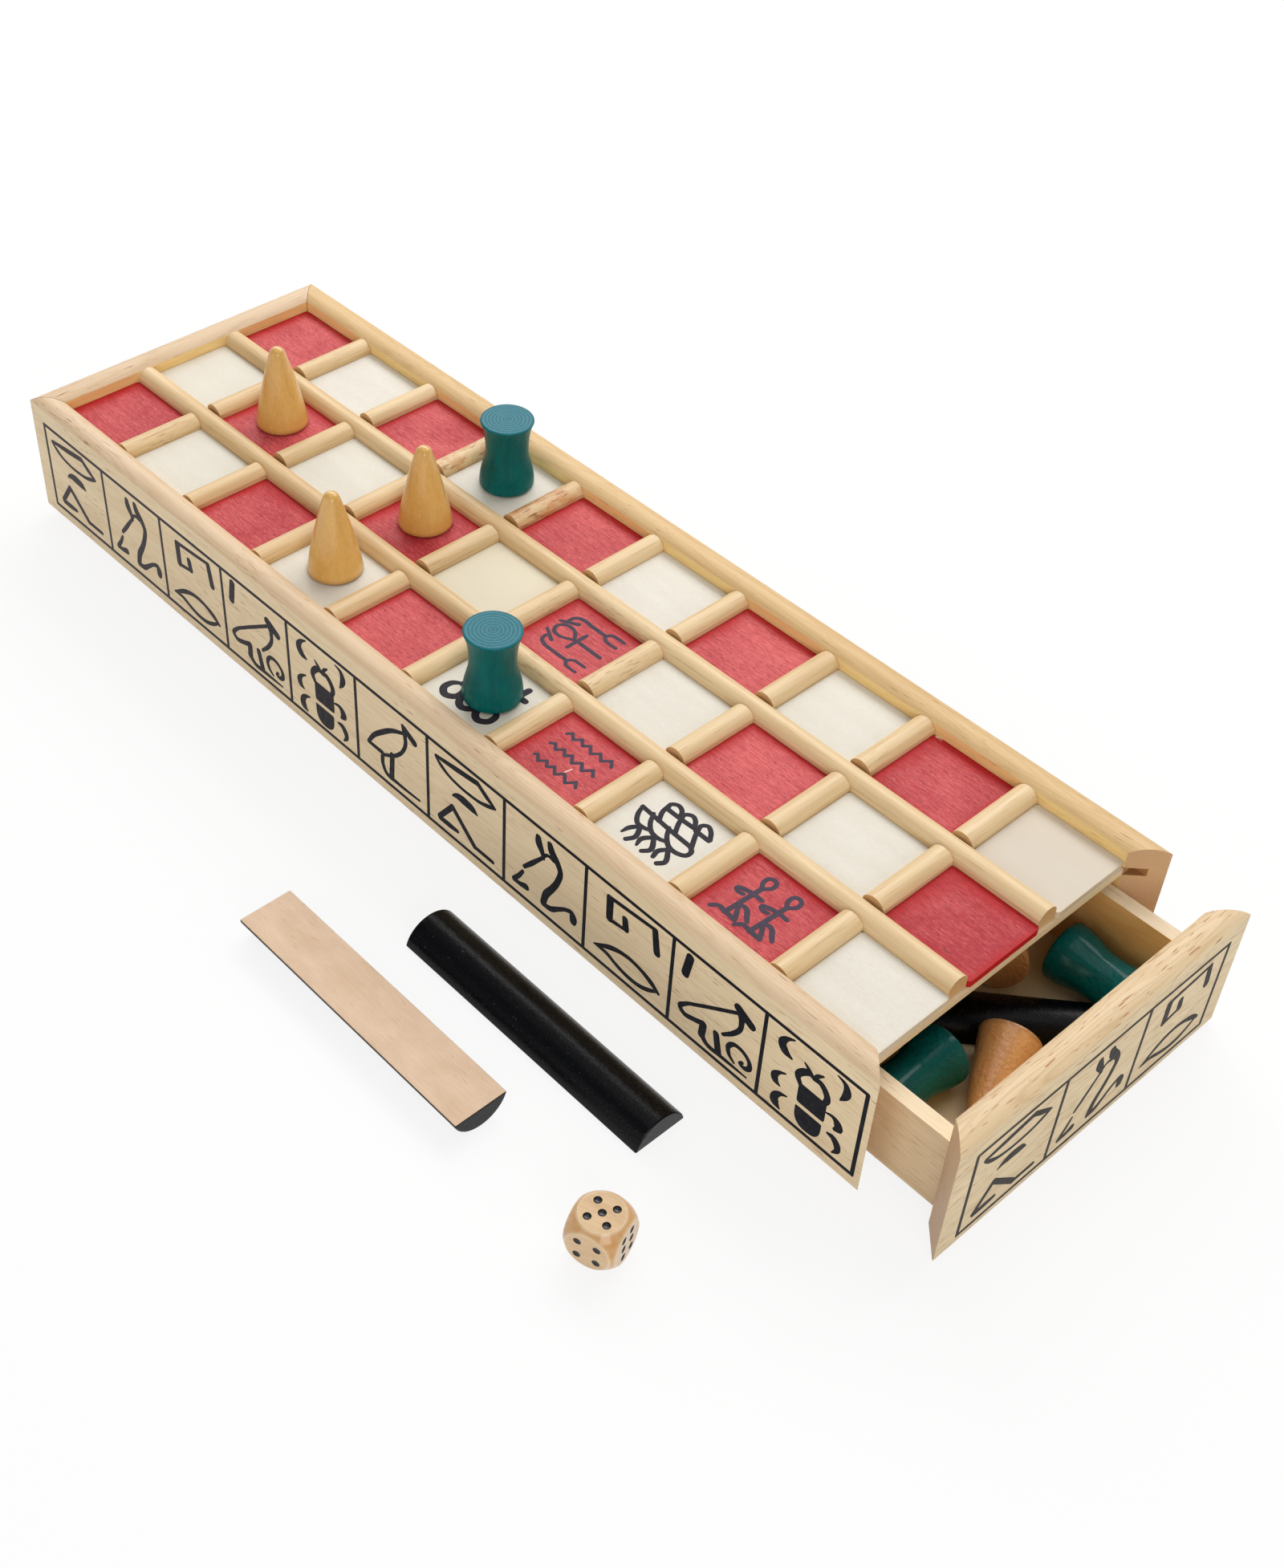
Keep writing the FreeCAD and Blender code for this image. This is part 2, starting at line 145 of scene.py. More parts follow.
class Nodes:
    """A node tree that gets each of its nodes from one method."""

    def __init__(self, tree: bpy.types.NodeTree) -> None:
        """Empties the tree."""
        self.tree = tree
        self.tree.nodes.clear()

    def node(self, kind: str, settings: dict[str, Any], links: dict[Any, Any]) -> bpy.types.Node:
        """Adds a node.

        Args:
            kind: The node's type.
            settings: Properties to set first.
            links: Socket name or number, and the value, number or socket for it.

        Returns:
            The node.
        """
        node = self.tree.nodes.new(kind)
        for key, setting in settings.items():
            setattr(node, key, setting)
        self.feed(node, links)
        return node

    def feed(self, node: bpy.types.Node, links: dict[Any, Any]) -> None:
        """Sets or links a node's inputs.

        Args:
            node: The node.
            links: Socket name or number, and the value, number or socket for it.
        """
        for key, source in links.items():
            if isinstance(key, str):
                socket = next(s for s in node.inputs if s.name == key and s.enabled)
            else:
                socket = node.inputs[key]
            if isinstance(source, Value):
                source = source.socket
            if isinstance(source, Socket):
                self.tree.links.new(source, socket)
            else:
                socket.default_value = source

    def ray(self, *kinds: str) -> Value:
        """Tells rays apart.

        Args:
            kinds: Names of the Light Path node's outputs.

        Returns:
            1 for a ray of any of these kinds, and 0 for any other.
        """
        path = self.node("ShaderNodeLightPath", {}, {})
        total, *others = (Value(self, path.outputs[kind]) for kind in kinds)
        for other in others:
            total = total.math("MAXIMUM", other)
        return total

    def surface(self, kind: str, share: Value, low: bpy.types.Node, high: bpy.types.Node) -> None:
        """Sends two shaders to the output, mixed.

        Args:
            kind: The output node's type.
            share: 0 for the low one, 1 for the high one.
            low: A shader's node.
            high: Another's.
        """
        links = {0: share, 1: low.outputs[0], 2: high.outputs[0]}
        mixed = self.node("ShaderNodeMixShader", {}, links)
        self.node(kind, {}, {"Surface": mixed.outputs[0]})


class Graph(Nodes):
    """One material's node tree with its Principled shader."""

    def __init__(self, name: str) -> None:
        """Makes the material.

        Args:
            name: The material's name.
        """
        self.material = bpy.data.materials.new(name)
        self.material.use_nodes = True
        super().__init__(self.material.node_tree)
        self.shader = self.node("ShaderNodeBsdfPrincipled", {}, {})
        self.node("ShaderNodeOutputMaterial", {}, {"Surface": self.shader.outputs[0]})
        self.place = self.node("ShaderNodeTexCoord", {}, {}).outputs["Object"]

    def axes(self, vector: Socket | None = None) -> tuple[Value, Value, Value]:
        """The three parts of a vector, by default of the place in metres."""
        node = self.node("ShaderNodeSeparateXYZ", {}, {0: vector or self.place})
        return tuple(Value(self, s) for s in node.outputs)

    def facing(self) -> tuple[Value, Value, Value]:
        """The three parts of the surface's outward direction."""
        return self.axes(self.node("ShaderNodeNewGeometry", {}, {}).outputs["Normal"])

    def local(self, foot: Sequence[float], lean: float, turn: float) -> Socket:
        """Coordinates of a turned piece: its foot's middle at the origin, its axis along Z.

        Args:
            foot: The foot's middle, in metres.
            lean: Degrees that its axis leans from upright.
            turn: Degrees about the vertical that it leans towards.

        Returns:
            The vector's socket.
        """
        angles = (0.0, math.radians(lean), math.radians(turn))
        links = {"Vector": self.place, "Location": tuple(foot), "Rotation": angles}
        return self.node("ShaderNodeMapping", {"vector_type": "TEXTURE"}, links).outputs[0]

    def noise(
        self, per_mm: float | Sequence[float], detail: float = 2.0, shift: float = 0.0,
        source: Socket | None = None,
    ) -> Value:
        """Noise stretched by its own rate along each axis.

        Args:
            per_mm: Features in each millimetre, alike everywhere or along X, Y and Z.
            detail: Octaves.
            shift: Moves the pattern, so that two of them differ.
            source: Coordinates in metres, by default the place.

        Returns:
            The noise, about 0.5.
        """
        rates = tuple(np.broadcast_to(per_mm, 3) / MM)
        links = {"Vector": source or self.place, "Location": (shift,) * 3, "Scale": rates}
        spread = self.node("ShaderNodeMapping", {}, links).outputs[0]
        links = {"Vector": spread, "Scale": 1.0, "Detail": detail, "Roughness": 0.55}
        return Value(self, self.node("ShaderNodeTexNoise", {}, links).outputs[0])

    def mix(self, share: Value | float, low: Any, high: Any) -> Socket:
        """A colour between two.

        Args:
            share: 0 for the low one, 1 for the high one.
            low: Screen colour or socket.
            high: Screen colour or socket.

        Returns:
            The colour's socket.
        """
        low, high = (paint(*end) if isinstance(end, tuple) else end for end in (low, high))
        settings = {"data_type": "RGBA", "clamp_factor": True}
        node = self.node("ShaderNodeMix", settings, {"Factor": share, "A": low, "B": high})
        return next(s for s in node.outputs if s.enabled)

    def finish(
        self, colour: Socket, rough: Value, bump: Value, depth: float, coat: float = 0.0,
        coat_rough: float = 0.1, metal: float = 0.0, shine: float = 0.5,
    ) -> Material:
        """Feeds the shader.

        Args:
            colour: Base colour.
            rough: Roughness.
            bump: Height pattern from 0 to 1.
            depth: Height of that pattern, in millimetres.
            coat: Weight of the clear coat.
            coat_rough: Roughness of the clear coat.
            metal: Metallic share.
            shine: Specular level.

        Returns:
            The material.
        """
        links = {"Height": bump, "Distance": depth * MM, "Strength": 1.0}
        relief = self.node("ShaderNodeBump", {}, links).outputs[0]
        links = {"Base Color": colour, "Roughness": rough, "Metallic": metal, "Normal": relief}
        links |= {"Coat Weight": coat, "Coat Roughness": coat_rough, "Specular IOR Level": shine}
        self.feed(self.shader, links)
        return self.material


class Grain(Enum):
    """Which way a board's grain runs."""

    ALONG_X = 0
    ALONG_Y = 1

    def rates(self, along: float, across: float) -> Place:
        """Feature rates for each axis.

        Args:
            along: Features in a millimetre along the grain.
            across: Features in a millimetre across it.

        Returns:
            The rates along X, Y and Z.
        """
        rates = [across] * 3
        rates[self.value] = along
        return (rates[0], rates[1], rates[2])


# --- finishes ---


@dataclass(frozen=True)
class Pine:
    """Planed pine with fine grain, growth lines and short dark flecks."""

    name: str
    grain: Grain
    pale: Rgb = (227, 200, 166)
    deep: Rgb = (206, 171, 129)
    # Upright faces: the wood's yellower tone, made lighter as painted light.
    flat_pale_and_lit: Rgb = (243, 221, 182)
    flat_deep_and_lit: Rgb = (217, 188, 145)
    # Inner upright faces: a warmer, brighter tone that is painted bounce light.
    inner_bounce_pale: Rgb = (253, 222, 152)
    inner_bounce_deep: Rgb = (238, 194, 124)
    cut: Rgb = (204, 166, 128)
    # Painted shade in the groove.
    groove_shade: Rgb = (160, 104, 56)
    joint: Rgb = (122, 84, 52)
    fleck: Rgb = (158, 108, 66)
    fleck_share: float = 0.75
    fleck_from: float = 0.65
    fleck_spread: float = 0.42
    line_share: float = 0.28
    shift: float = 0.0
    outer: float = 0.0
    groove: tuple[float, float] = (0.0, 0.0)
    corner: tuple[float, float] | None = None

    def material(self) -> Material:
        """The finish: streaks and growth lines mix two tones, flecks and 45 degree cuts a third.

        The upright faces, planed flat, have tones of their own: outside, the wood's yellower tone
        made lighter with painted light; inside, a warmer, brighter tone that is painted bounce
        light. Growth lines are a sine of slow noise stretched along the grain. A groove between two
        heights is darkened with painted shade. Where a corner is given, a thin dark joint shows on
        the diagonal through it.

        Returns:
            The material.
        """
        g = Graph(self.name)
        fine = g.noise(self.grain.rates(0.06, 2.4), 3.0, self.shift)
        broad = g.noise(self.grain.rates(0.006, 0.09), 2.0, self.shift + 1.7)
        warp = g.noise(self.grain.rates(0.012, 0.13), 1.0, self.shift + 4.1)
        lines = ((warp * 80.0).math("SINE") * 0.5 + 0.5).math("POWER", 2.0)
        tone = broad * 0.9 + fine * 0.6 + lines * self.line_share - 0.5
        nx, ny, _ = (abs(part) for part in g.facing())
        # Upright faces get their own tones: partly the wood's yellower tone, partly painted light that
        # makes them lighter.
        flat = nx.math("MAXIMUM", ny).rising(0.93, 0.98)
        x, y, z = (part / MM for part in g.axes())
        out = abs(y if self.grain is Grain.ALONG_X else x) - self.outer
        # Painted bounce light: upright faces inside the outer surface get a warmer, brighter tone.
        within = flat * out.rising(-0.4, -0.9)
        pale = g.mix(flat, self.pale, self.flat_pale_and_lit)
        deep = g.mix(flat, self.deep, self.flat_deep_and_lit)
        pale = g.mix(within, pale, self.inner_bounce_pale)
        deep = g.mix(within, deep, self.inner_bounce_deep)
        colour = g.mix(tone, pale, deep)
        dashes = g.noise(self.grain.rates(0.15, 2.4), 1.0, self.shift + 8.3)
        patches = g.noise(0.035, 1.0, self.shift + 2.9)
        patches = patches.rising(self.fleck_spread, self.fleck_spread + 0.14)
        flecks = dashes.rising(self.fleck_from, self.fleck_from + 0.08) * patches
        colour = g.mix(flecks * self.fleck_share, colour, self.fleck)
        mitre = (nx * ny).rising(0.35, 0.45)
        pores = g.noise((1.4, 1.4, 0.35), 3.0, self.shift + 5.0)
        colour = g.mix(mitre * (pores * 0.8 + 0.4), colour, self.cut)
        # Painted shade: the groove between the two heights is darkened the way a recess in shadow looks.
        if self.groove[1]:
            low, high = self.groove
            groove_shade = z.rising(low - 0.15, low - 0.05) * z.rising(high + 0.15, high + 0.05)
            colour = g.mix(groove_shade * out.rising(-3.7, -3.85) * 0.85, colour, self.groove_shade)
        if self.corner:
            off = (x - self.corner[0]) - (self.corner[1] - abs(y))
            colour = g.mix(abs(off).rising(0.3, 0.08) * 0.75, colour, self.joint)
        return g.finish(colour, fine * 0.16 + 0.44, fine, 0.05)


@dataclass(frozen=True)
class Ply:
    """Thin plywood: a pale face veneer, and darker plies at the edges."""

    name: str
    low: float
    high: float
    pale: Rgb = (232, 214, 178)
    deep: Rgb = (214, 190, 148)
    core: Rgb = (226, 206, 174)
    glue: Rgb = (168, 140, 106)
    # Painted shade on the panel's end inside the grooves: its lower and upper tone.
    groove_shade_low: Rgb = (206, 160, 108)
    groove_shade_high: Rgb = (96, 56, 28)
    tongue: float | None = None

    def material(self) -> Material:
        """The finish: faces show grain, and edges three plies, the middle one dark.

        Further from the middle line than tongue, if given, the panel lies in the grooves, and its
        end there gets painted shade, darkest at the top.

        Returns:
            The material.
        """
        g = Graph(self.name)
        fine = g.noise(Grain.ALONG_X.rates(0.06, 1.8), 3.0)
        broad = g.noise((0.012, 0.05, 0.05), 2.0, 3.3)
        colour = g.mix(fine * 0.5 + broad * 0.7 - 0.25, self.pale, self.deep)
        _, y, z = g.axes()
        share = (z - self.low * MM) / ((self.high - self.low) * MM)
        middle = abs(share - 0.5).rising(0.21, 0.17)
        glue = abs(abs(share - 0.5) - 0.19).rising(0.035, 0.012)
        _, _, nz = g.facing()
        edge = abs(nz).rising(0.7, 0.3)
        colour = g.mix(edge * middle * 0.55, colour, self.core)
        colour = g.mix(edge * glue * 0.25, colour, self.glue)
        # Painted shade on the panel's end inside the grooves, dark at the top and lighter below.
        if self.tongue:
            groove_shade_mask = (abs(y) / MM).rising(self.tongue - 0.1, self.tongue + 0.1) * 0.9
            colour = g.mix(groove_shade_mask, colour, g.mix(share, self.groove_shade_low, self.groove_shade_high))
        return g.finish(colour, fine * 0.1 + 0.5, fine, 0.04)


@dataclass(frozen=True)
class DividerWood:
    """Half-round strips, each a little different in tone, some with brown pith marks."""

    name: str
    grain: Grain
    pale: Rgb = (236, 209, 164)
    deep: Rgb = (207, 169, 115)
    hair: Rgb = (186, 134, 82)
    pith: Rgb = (206, 132, 74)
    dash: Rgb = (142, 78, 40)
    cut: Rgb = (198, 154, 104)
    marked: tuple[tuple[float, float], ...] = ((-39.0, 38.0), (-77.5, 38.0))

    def material(self) -> Material:
        """The finish: slow noise sets each strip's tone, and brown dashes gather in patches.

        Returns:
            The material.
        """
        g = Graph(self.name)
        each = g.noise((0.021, 0.017, 0.0), 0.0, 7.7)
        fine = g.noise(self.grain.rates(0.07, 2.8), 3.0, 1.1)
        streak = g.noise(self.grain.rates(0.025, 0.7), 2.0, 2.3)
        tone = each * 0.9 + fine * 0.6 + streak * 0.9 - 0.72
        colour = g.mix(tone, self.pale, self.deep)
        hair = g.noise(self.grain.rates(0.05, 1.9), 1.0, 15.2).rising(0.63, 0.72)
        colour = g.mix(hair * 0.45, colour, self.hair)
        dashes = g.noise(self.grain.rates(0.16, 1.5), 3.0, 9.4).rising(0.54, 0.66)
        x, y, _ = g.axes()
        patches = g.noise((0.019, 0.023, 0.0), 0.0, 12.6).rising(0.66, 0.78) * 0.5
        marked = 0.0
        for mark_x, mark_y in self.marked:
            near_x = abs(x / MM - mark_x).rising(5.0, 4.0)
            marked = near_x * abs(y / MM - mark_y).rising(17.0, 11.0) + marked
        clouds = g.noise((0.22, 0.16, 0.2), 3.0, 18.4).rising(0.4, 0.62)
        colour = g.mix(marked * clouds * 0.6, colour, self.pith)
        colour = g.mix(dashes * patches.math("MAXIMUM", marked) * 0.85, colour, self.dash)
        end = abs(g.facing()[self.grain.value]).rising(0.6, 0.85)
        pores = g.noise(1.5, 3.0, 5.0)
        colour = g.mix(end * (pores * 0.6 + 0.4), colour, self.cut)
        return g.finish(colour, fine * 0.15 + 0.38, fine, 0.04)


@dataclass(frozen=True)
class Grid:
    """The board's squares: how many there are along and across, and from one to the next."""

    columns: int = 10
    rows: int = 3
    pitch_x: float = 39.0
    pitch_y: float = 38.0


@dataclass(frozen=True)
class SquarePlate(Grid):
    """The board's little plates: where their edges lie, shared by both stains."""

    half_x: float = 15.55
    half_y: float = 15.05

    def cell(self, g: Graph) -> tuple[Value, Value, Value, Value]:
        """Where a point lies on its plate.

        Args:
            g: The material's graph.

        Returns:
            Column and row numbers, and offsets from the plate's middle in millimetres.
        """
        x, y, _ = g.axes()
        across = x / (self.pitch_x * MM) + self.columns / 2
        up = y / (self.pitch_y * MM) + self.rows / 2
        column = across.math("FLOOR")
        row = up.math("FLOOR")
        return column, row, (across - column - 0.5) * self.pitch_x, (up - row - 0.5) * self.pitch_y

    def only(self, column: Value, row: Value, at: Cell) -> Value:
        """Picks out one plate.

        Args:
            column: Column number.
            row: Row number.
            at: The plate's column and row.

        Returns:
            1 on it and 0 elsewhere.
        """
        return abs(column - at[0]).rising(0.6, 0.4) * abs(row - at[1]).rising(0.6, 0.4)

    def own(self, g: Graph, column: Value, row: Value, salt: float) -> Value:
        """A number of its own for each plate.

        Args:
            g: The material's graph.
            column: Column number.
            row: Row number.
            salt: Another number, so that two stains differ.

        Returns:
            The number, from 0 to 1.
        """
        spot = g.node("ShaderNodeCombineXYZ", {}, {0: column, 1: row, 2: salt}).outputs[0]
        node = g.node("ShaderNodeTexWhiteNoise", {"noise_dimensions": "3D"}, {"Vector": spot})
        return Value(g, node.outputs["Value"])


@dataclass(frozen=True)
class RedStain(SquarePlate):
    """Red-stained plates, deeper along their edges, where stain pools and painted shade falls."""

    name: str = "red_plate_stain"
    pale: Rgb = (224, 102, 102)
    deep: Rgb = (174, 36, 46)
    pool_and_shade: Rgb = (184, 16, 22)
    pore: Rgb = (126, 16, 34)
    worn: Rgb = (236, 146, 144)
    scratched: Rgb = (246, 216, 196)
    unstained: Rgb = (238, 206, 188)
    # Two plates are a deeper red all over, with a wider deep band.
    deeper_plates: tuple[Cell, Cell] = ((3, 1), (9, 1))
    scratched_plate: Cell = (6, 0)
    missed_plate: Cell = (8, 2)

    def material(self) -> Material:
        """The finish: short open grain along X, in a stain that pools in a band of uneven width.

        The band is also painted shade from the dividers, which makes it wider along the -X and +Y
        edges; its width is slow noise. One plate has a thin scratch, and the stain has missed a
        corner of another.

        Returns:
            The material.
        """
        g = Graph(self.name)
        column, row, u, v = self.cell(g)
        fine = g.noise(Grain.ALONG_X.rates(0.42, 3.4), 4.0)
        streaks = g.noise(Grain.ALONG_X.rates(0.07, 1.3), 2.0, 3.0)
        cloud = g.noise(0.07, 2.0, 5.5)
        own = self.own(g, column, row, 2.0)
        one, other = (self.only(column, row, plate) for plate in self.deeper_plates)
        on_deeper_plate = one + other
        deeper = column.rising(6.5, 9.0) * 0.2 + row.rising(1.0, 0.0) * 0.14 + on_deeper_plate * 0.35
        tone = fine * 1.5 + streaks * 0.8 + cloud * 0.9 + own * 0.3 + deeper - 1.32
        colour = g.mix(tone, self.pale, self.deep)
        # The deep band is stain that pools at the edges together with painted shade from the dividers.
        wide = (u + self.half_x).math("MINIMUM", self.half_y - v)
        narrow = (self.half_x - u).math("MINIMUM", v + self.half_y) * 2.2
        spread = g.noise(0.05, 1.0, 11.5) * 11.0 + own * 2.0 + on_deeper_plate * 3.0 - 1.8
        pooled_and_shaded = (wide.math("MINIMUM", narrow) / spread.math("MAXIMUM", 0.8)).rising(1.0, 0.0)
        colour = g.mix(pooled_and_shaded * (fine * 0.5 + 0.65), colour, self.pool_and_shade)
        dark = g.noise(Grain.ALONG_X.rates(0.5, 3.4), 3.0, 9.0).rising(0.55, 0.7) * 0.75
        colour = g.mix(dark, colour, self.pore)
        light = g.noise(Grain.ALONG_X.rates(0.6, 3.8), 3.0, 14.0).rising(0.56, 0.7) * 0.32
        colour = g.mix(light * (1 - pooled_and_shaded), colour, self.worn)
        scratch = abs(u - 2.45 - (v + 4.9) * 0.19).rising(0.26, 0.12) * abs(v + 3.55).rising(1.5, 1.2)
        here = self.only(column, row, self.scratched_plate)
        colour = g.mix(scratch * here, colour, self.scratched)
        bare = v.rising(13.9, 14.5) * abs(u + 13.4).rising(1.7, 0.9) * fine.rising(0.42, 0.5)
        here = self.only(column, row, self.missed_plate)
        colour = g.mix(bare * here, colour, self.unstained)
        return g.finish(colour, fine * 0.2 + 0.45, fine, 0.05, shine=0.25)


@dataclass(frozen=True)
class BarePlate(SquarePlate):
    """Bare plates in slightly different tones of pale wood."""

    name: str = "bare_plate"
    pale: Rgb = (230, 226, 216)
    deep: Rgb = (212, 203, 188)
    warm: Rgb = (216, 207, 184)
    yellow: Rgb = (221, 207, 173)
    beige: Rgb = (208, 193, 173)
    # Painted shade along the plates' edges.
    rim_painted_light: Rgb = (206, 186, 148)
    yellow_plate: Cell = (4, 1)
    beige_plate: Cell = (9, 2)

    def material(self) -> Material:
        """The finish: faint grain along X, and a tone for each plate.

        Returns:
            The material.
        """
        g = Graph(self.name)
        column, row, u, v = self.cell(g)
        fine = g.noise(Grain.ALONG_X.rates(0.5, 2.6), 4.0)
        cloud = g.noise((0.03, 0.14, 0.1), 2.0, 5.5)
        own = self.own(g, column, row, 6.0)
        tone = fine * 1.1 + cloud * 0.9 - 0.6
        colour = g.mix(tone, self.pale, self.deep)
        colour = g.mix(own * 0.4, colour, self.warm)
        colour = g.mix(self.only(column, row, self.yellow_plate) * 0.7, colour, self.yellow)
        colour = g.mix(self.only(column, row, self.beige_plate) * 0.75, colour, self.beige)
        # Painted shade: a darker band where each plate meets the dividers.
        rim_painted_light = (self.half_x - abs(u)).math("MINIMUM", self.half_y - abs(v)).rising(0.9, 0.0)
        colour = g.mix(rim_painted_light * 0.35, colour, self.rim_painted_light)
        return g.finish(colour, fine * 0.12 + 0.5, fine, 0.03)


@dataclass(frozen=True)
class Stand:
    """How a turned piece lies: its foot's middle in metres, its lean and its turn in degrees."""

    foot: Place
    lean: float = 0.0
    turn: float = 0.0


@dataclass(frozen=True)
class HoneyCone:
    """Varnished honey-coloured wood with grain along the cone's axis."""

    name: str
    stand: Stand
    pale: Rgb = (238, 190, 103)
    deep: Rgb = (199, 144, 64)
    foot: Rgb = (150, 94, 44)
    pitted: float = 0.0

    def material(self) -> Material:
        """The finish: long streaks and fine pores along the axis under a satin clear coat.

        Where the varnish lies thin over open wood, pitted is the depth of its pores in millimetres.

        Returns:
            The material.
        """
        g = Graph(self.name)
        own = g.local(self.stand.foot, self.stand.lean, self.stand.turn)
        fine = g.noise((1.7, 1.7, 0.08), 3.0, 0.2, own)
        broad = g.noise((0.14, 0.14, 0.02), 2.0, 3.1, own)
        pores = g.noise(0.8, 3.0, 6.0, own)
        tone = fine * 0.7 + broad * 0.9 + pores * 0.3 - 0.5
        colour = g.mix(tone, self.pale, self.deep)
        _, _, height = g.axes(own)
        colour = g.mix(height.rising(0.0026, 0.0002) * 0.55, colour, self.foot)
        relief = fine * 0.015 + pores * self.pitted
        return g.finish(colour, fine * 0.1 + 0.4, relief, 1.0, coat=0.8, coat_rough=0.11)


@dataclass(frozen=True)
class GreenSpool:
    """Green-stained turned wood; the flat top is bluer and shows the lathe's rings."""

    name: str
    stand: Stand
    height: float = 26.0
    pale: Rgb = (0, 112, 108)
    deep: Rgb = (0, 74, 76)
    top_pale: Rgb = (26, 128, 140)
    top_deep: Rgb = (4, 82, 98)
    centre: Rgb = (12, 62, 70)

    def material(self) -> Material:
        """The finish: rings on the top are a sine of the radius, the side has upright streaks.

        The spools that lie are pitted more deeply than the ones that stand.

        Returns:
            The material.
        """
        g = Graph(self.name)
        own = g.local(self.stand.foot, self.stand.lean, self.stand.turn)
        x, y, z = g.axes(own)
        radius = (x * x + y * y).math("SQRT") / MM
        wobble = g.noise(0.5, 1.0, 1.4, own)
        rings = (radius * 5.2 + wobble * 2.0).math("SINE") * 0.5 + 0.5
        fine = g.noise((1.7, 1.7, 0.12), 3.0, 0.7, own)
        broad = g.noise((0.25, 0.25, 0.07), 2.0, 2.0, own)
        side = g.mix(fine * 0.8 + broad - 0.4, self.pale, self.deep)
        speck = g.noise(1.2, 2.0, 4.0, own)
        top = g.mix(rings * 0.8 + speck * 0.9 - 0.4, self.top_pale, self.top_deep)
        top = g.mix(radius.rising(0.9, 0.3) * 0.6, top, self.centre)
        on_top = (z / MM).rising(self.height - 0.35, self.height - 0.1)
        colour = g.mix(on_top, side, top)
        pits = g.noise(0.8, 3.0, 8.0, own) * (0.6 if self.stand.lean else 0.08)
        grain = (fine * 0.03 + pits) * (1 - on_top) + rings * on_top * 0.05
        rough = on_top * 0.12 + fine * 0.12 + 0.3
        coat, shine = (0.35, 0.08) if self.stand.lean else (0.2, 0.06)
        return g.finish(colour, rough, grain, 1.0, coat=coat, coat_rough=0.16, shine=shine)


@dataclass(frozen=True)
class ThrowingStick:
    """A stick with black lacquer on its rounded back and ends, and bare wood on its flat face."""

    name: str
    flat_height: float
    lacquer: Rgb = (5, 6, 9)
    dust: Rgb = (70, 72, 78)
    pale: Rgb = (232, 205, 177)
    deep: Rgb = (207, 174, 144)
    pore: Rgb = (178, 136, 100)

    def material(self) -> Material:
        """The finish: lacquer with fine dust specks, and bare wood within 0.14 mm of the flat.

        Returns:
            The material.
        """
        g = Graph(self.name)
        _, _, z = g.axes()
        flat = abs(z / MM - self.flat_height).rising(0.2, 0.08)
        pores = g.noise(Grain.ALONG_X.rates(0.25, 1.2), 3.0, 2.0)
        dust = g.noise(1.3, 2.0, 5.0)
        black = g.mix(dust.rising(0.66, 0.74) * 0.5, self.lacquer, self.dust)
        fine = g.noise(Grain.ALONG_X.rates(0.1, 2.4), 4.0)
        broad = g.noise((0.015, 0.1, 0.1), 2.0, 1.0)
        cloud = g.noise((0.09, 0.14, 0.1), 3.0, 6.4)
        tone = fine * 0.6 + broad * 0.6 + cloud * 1.1 - 0.65
        bare = g.mix(tone, self.pale, self.deep)
        bare = g.mix(pores.rising(0.62, 0.72) * 0.3, bare, self.pore)
        colour = g.mix(flat, black, bare)
        rough = flat * 0.25 + pores * 0.14 + 0.2
        return g.finish(colour, rough, pores * 0.3 + dust, 0.08, shine=0.17)


@dataclass(frozen=True)
class DieWood:
    """Clear-lacquered pale wood of the die, with black paint in its pips; middle is in metres."""

    name: str = "varnished_die_wood"
    middle: Place = (0.1662, -0.124, 0.00785)
    turn: float = 18.2
    half: float = 7.8
    pip_reach: float = 5.9
    edge_reach: float = 6.5
    pale: Rgb = (226, 194, 152)
    deep: Rgb = (192, 154, 106)
    worn: Rgb = (208, 148, 84)
    # Painted highlight along each face's edge.
    rim_painted_light: Rgb = (244, 220, 184)
    pip: Rgb = (18, 16, 20)

    def material(self) -> Material:
        """The finish: streaks under a glossy coat, and paint wherever the surface dips in a face.

        With m the largest coordinate and r the distance from the middle, a pip is where m falls
        short of the half edge while the root of r squared less m squared is under pip_reach.

        Returns:
            The material.
        """
        g = Graph(self.name)
        own = g.local(self.middle, 0.0, self.turn)
        fine = g.noise((0.35, 2.4, 2.4), 3.0, 0.0, own)
        broad = g.noise((0.08, 0.3, 0.3), 2.0, 2.0, own)
        x, y, z = (abs(part / MM) for part in g.axes(own))
        most = x.math("MAXIMUM", y).math("MAXIMUM", z)
        reach = (x * x + y * y + z * z - most * most).math("SQRT")
        on_face = reach.rising(self.pip_reach + 0.1, self.pip_reach - 0.1)
        pip = most.rising(self.half - 0.01, self.half - 0.04) * on_face
        tone = fine * 0.9 + broad * 0.9 - 0.5
        colour = g.mix(tone, self.pale, self.deep)
        worn = reach.rising(self.edge_reach - 0.1, self.edge_reach + 0.9)
        colour = g.mix(worn * (broad * 1.4), colour, self.worn)
        # Painted highlight: a light ring where each face turns into the rounded edge.
        rim_painted_light = abs(reach - self.edge_reach).rising(0.45, 0.1) * 0.35
        colour = g.mix(rim_painted_light, colour, self.rim_painted_light)
        colour = g.mix(pip, colour, self.pip)
        return g.finish(colour, fine * 0.1 + 0.3, fine, 0.02, coat=0.5, coat_rough=0.06, shine=0.3)


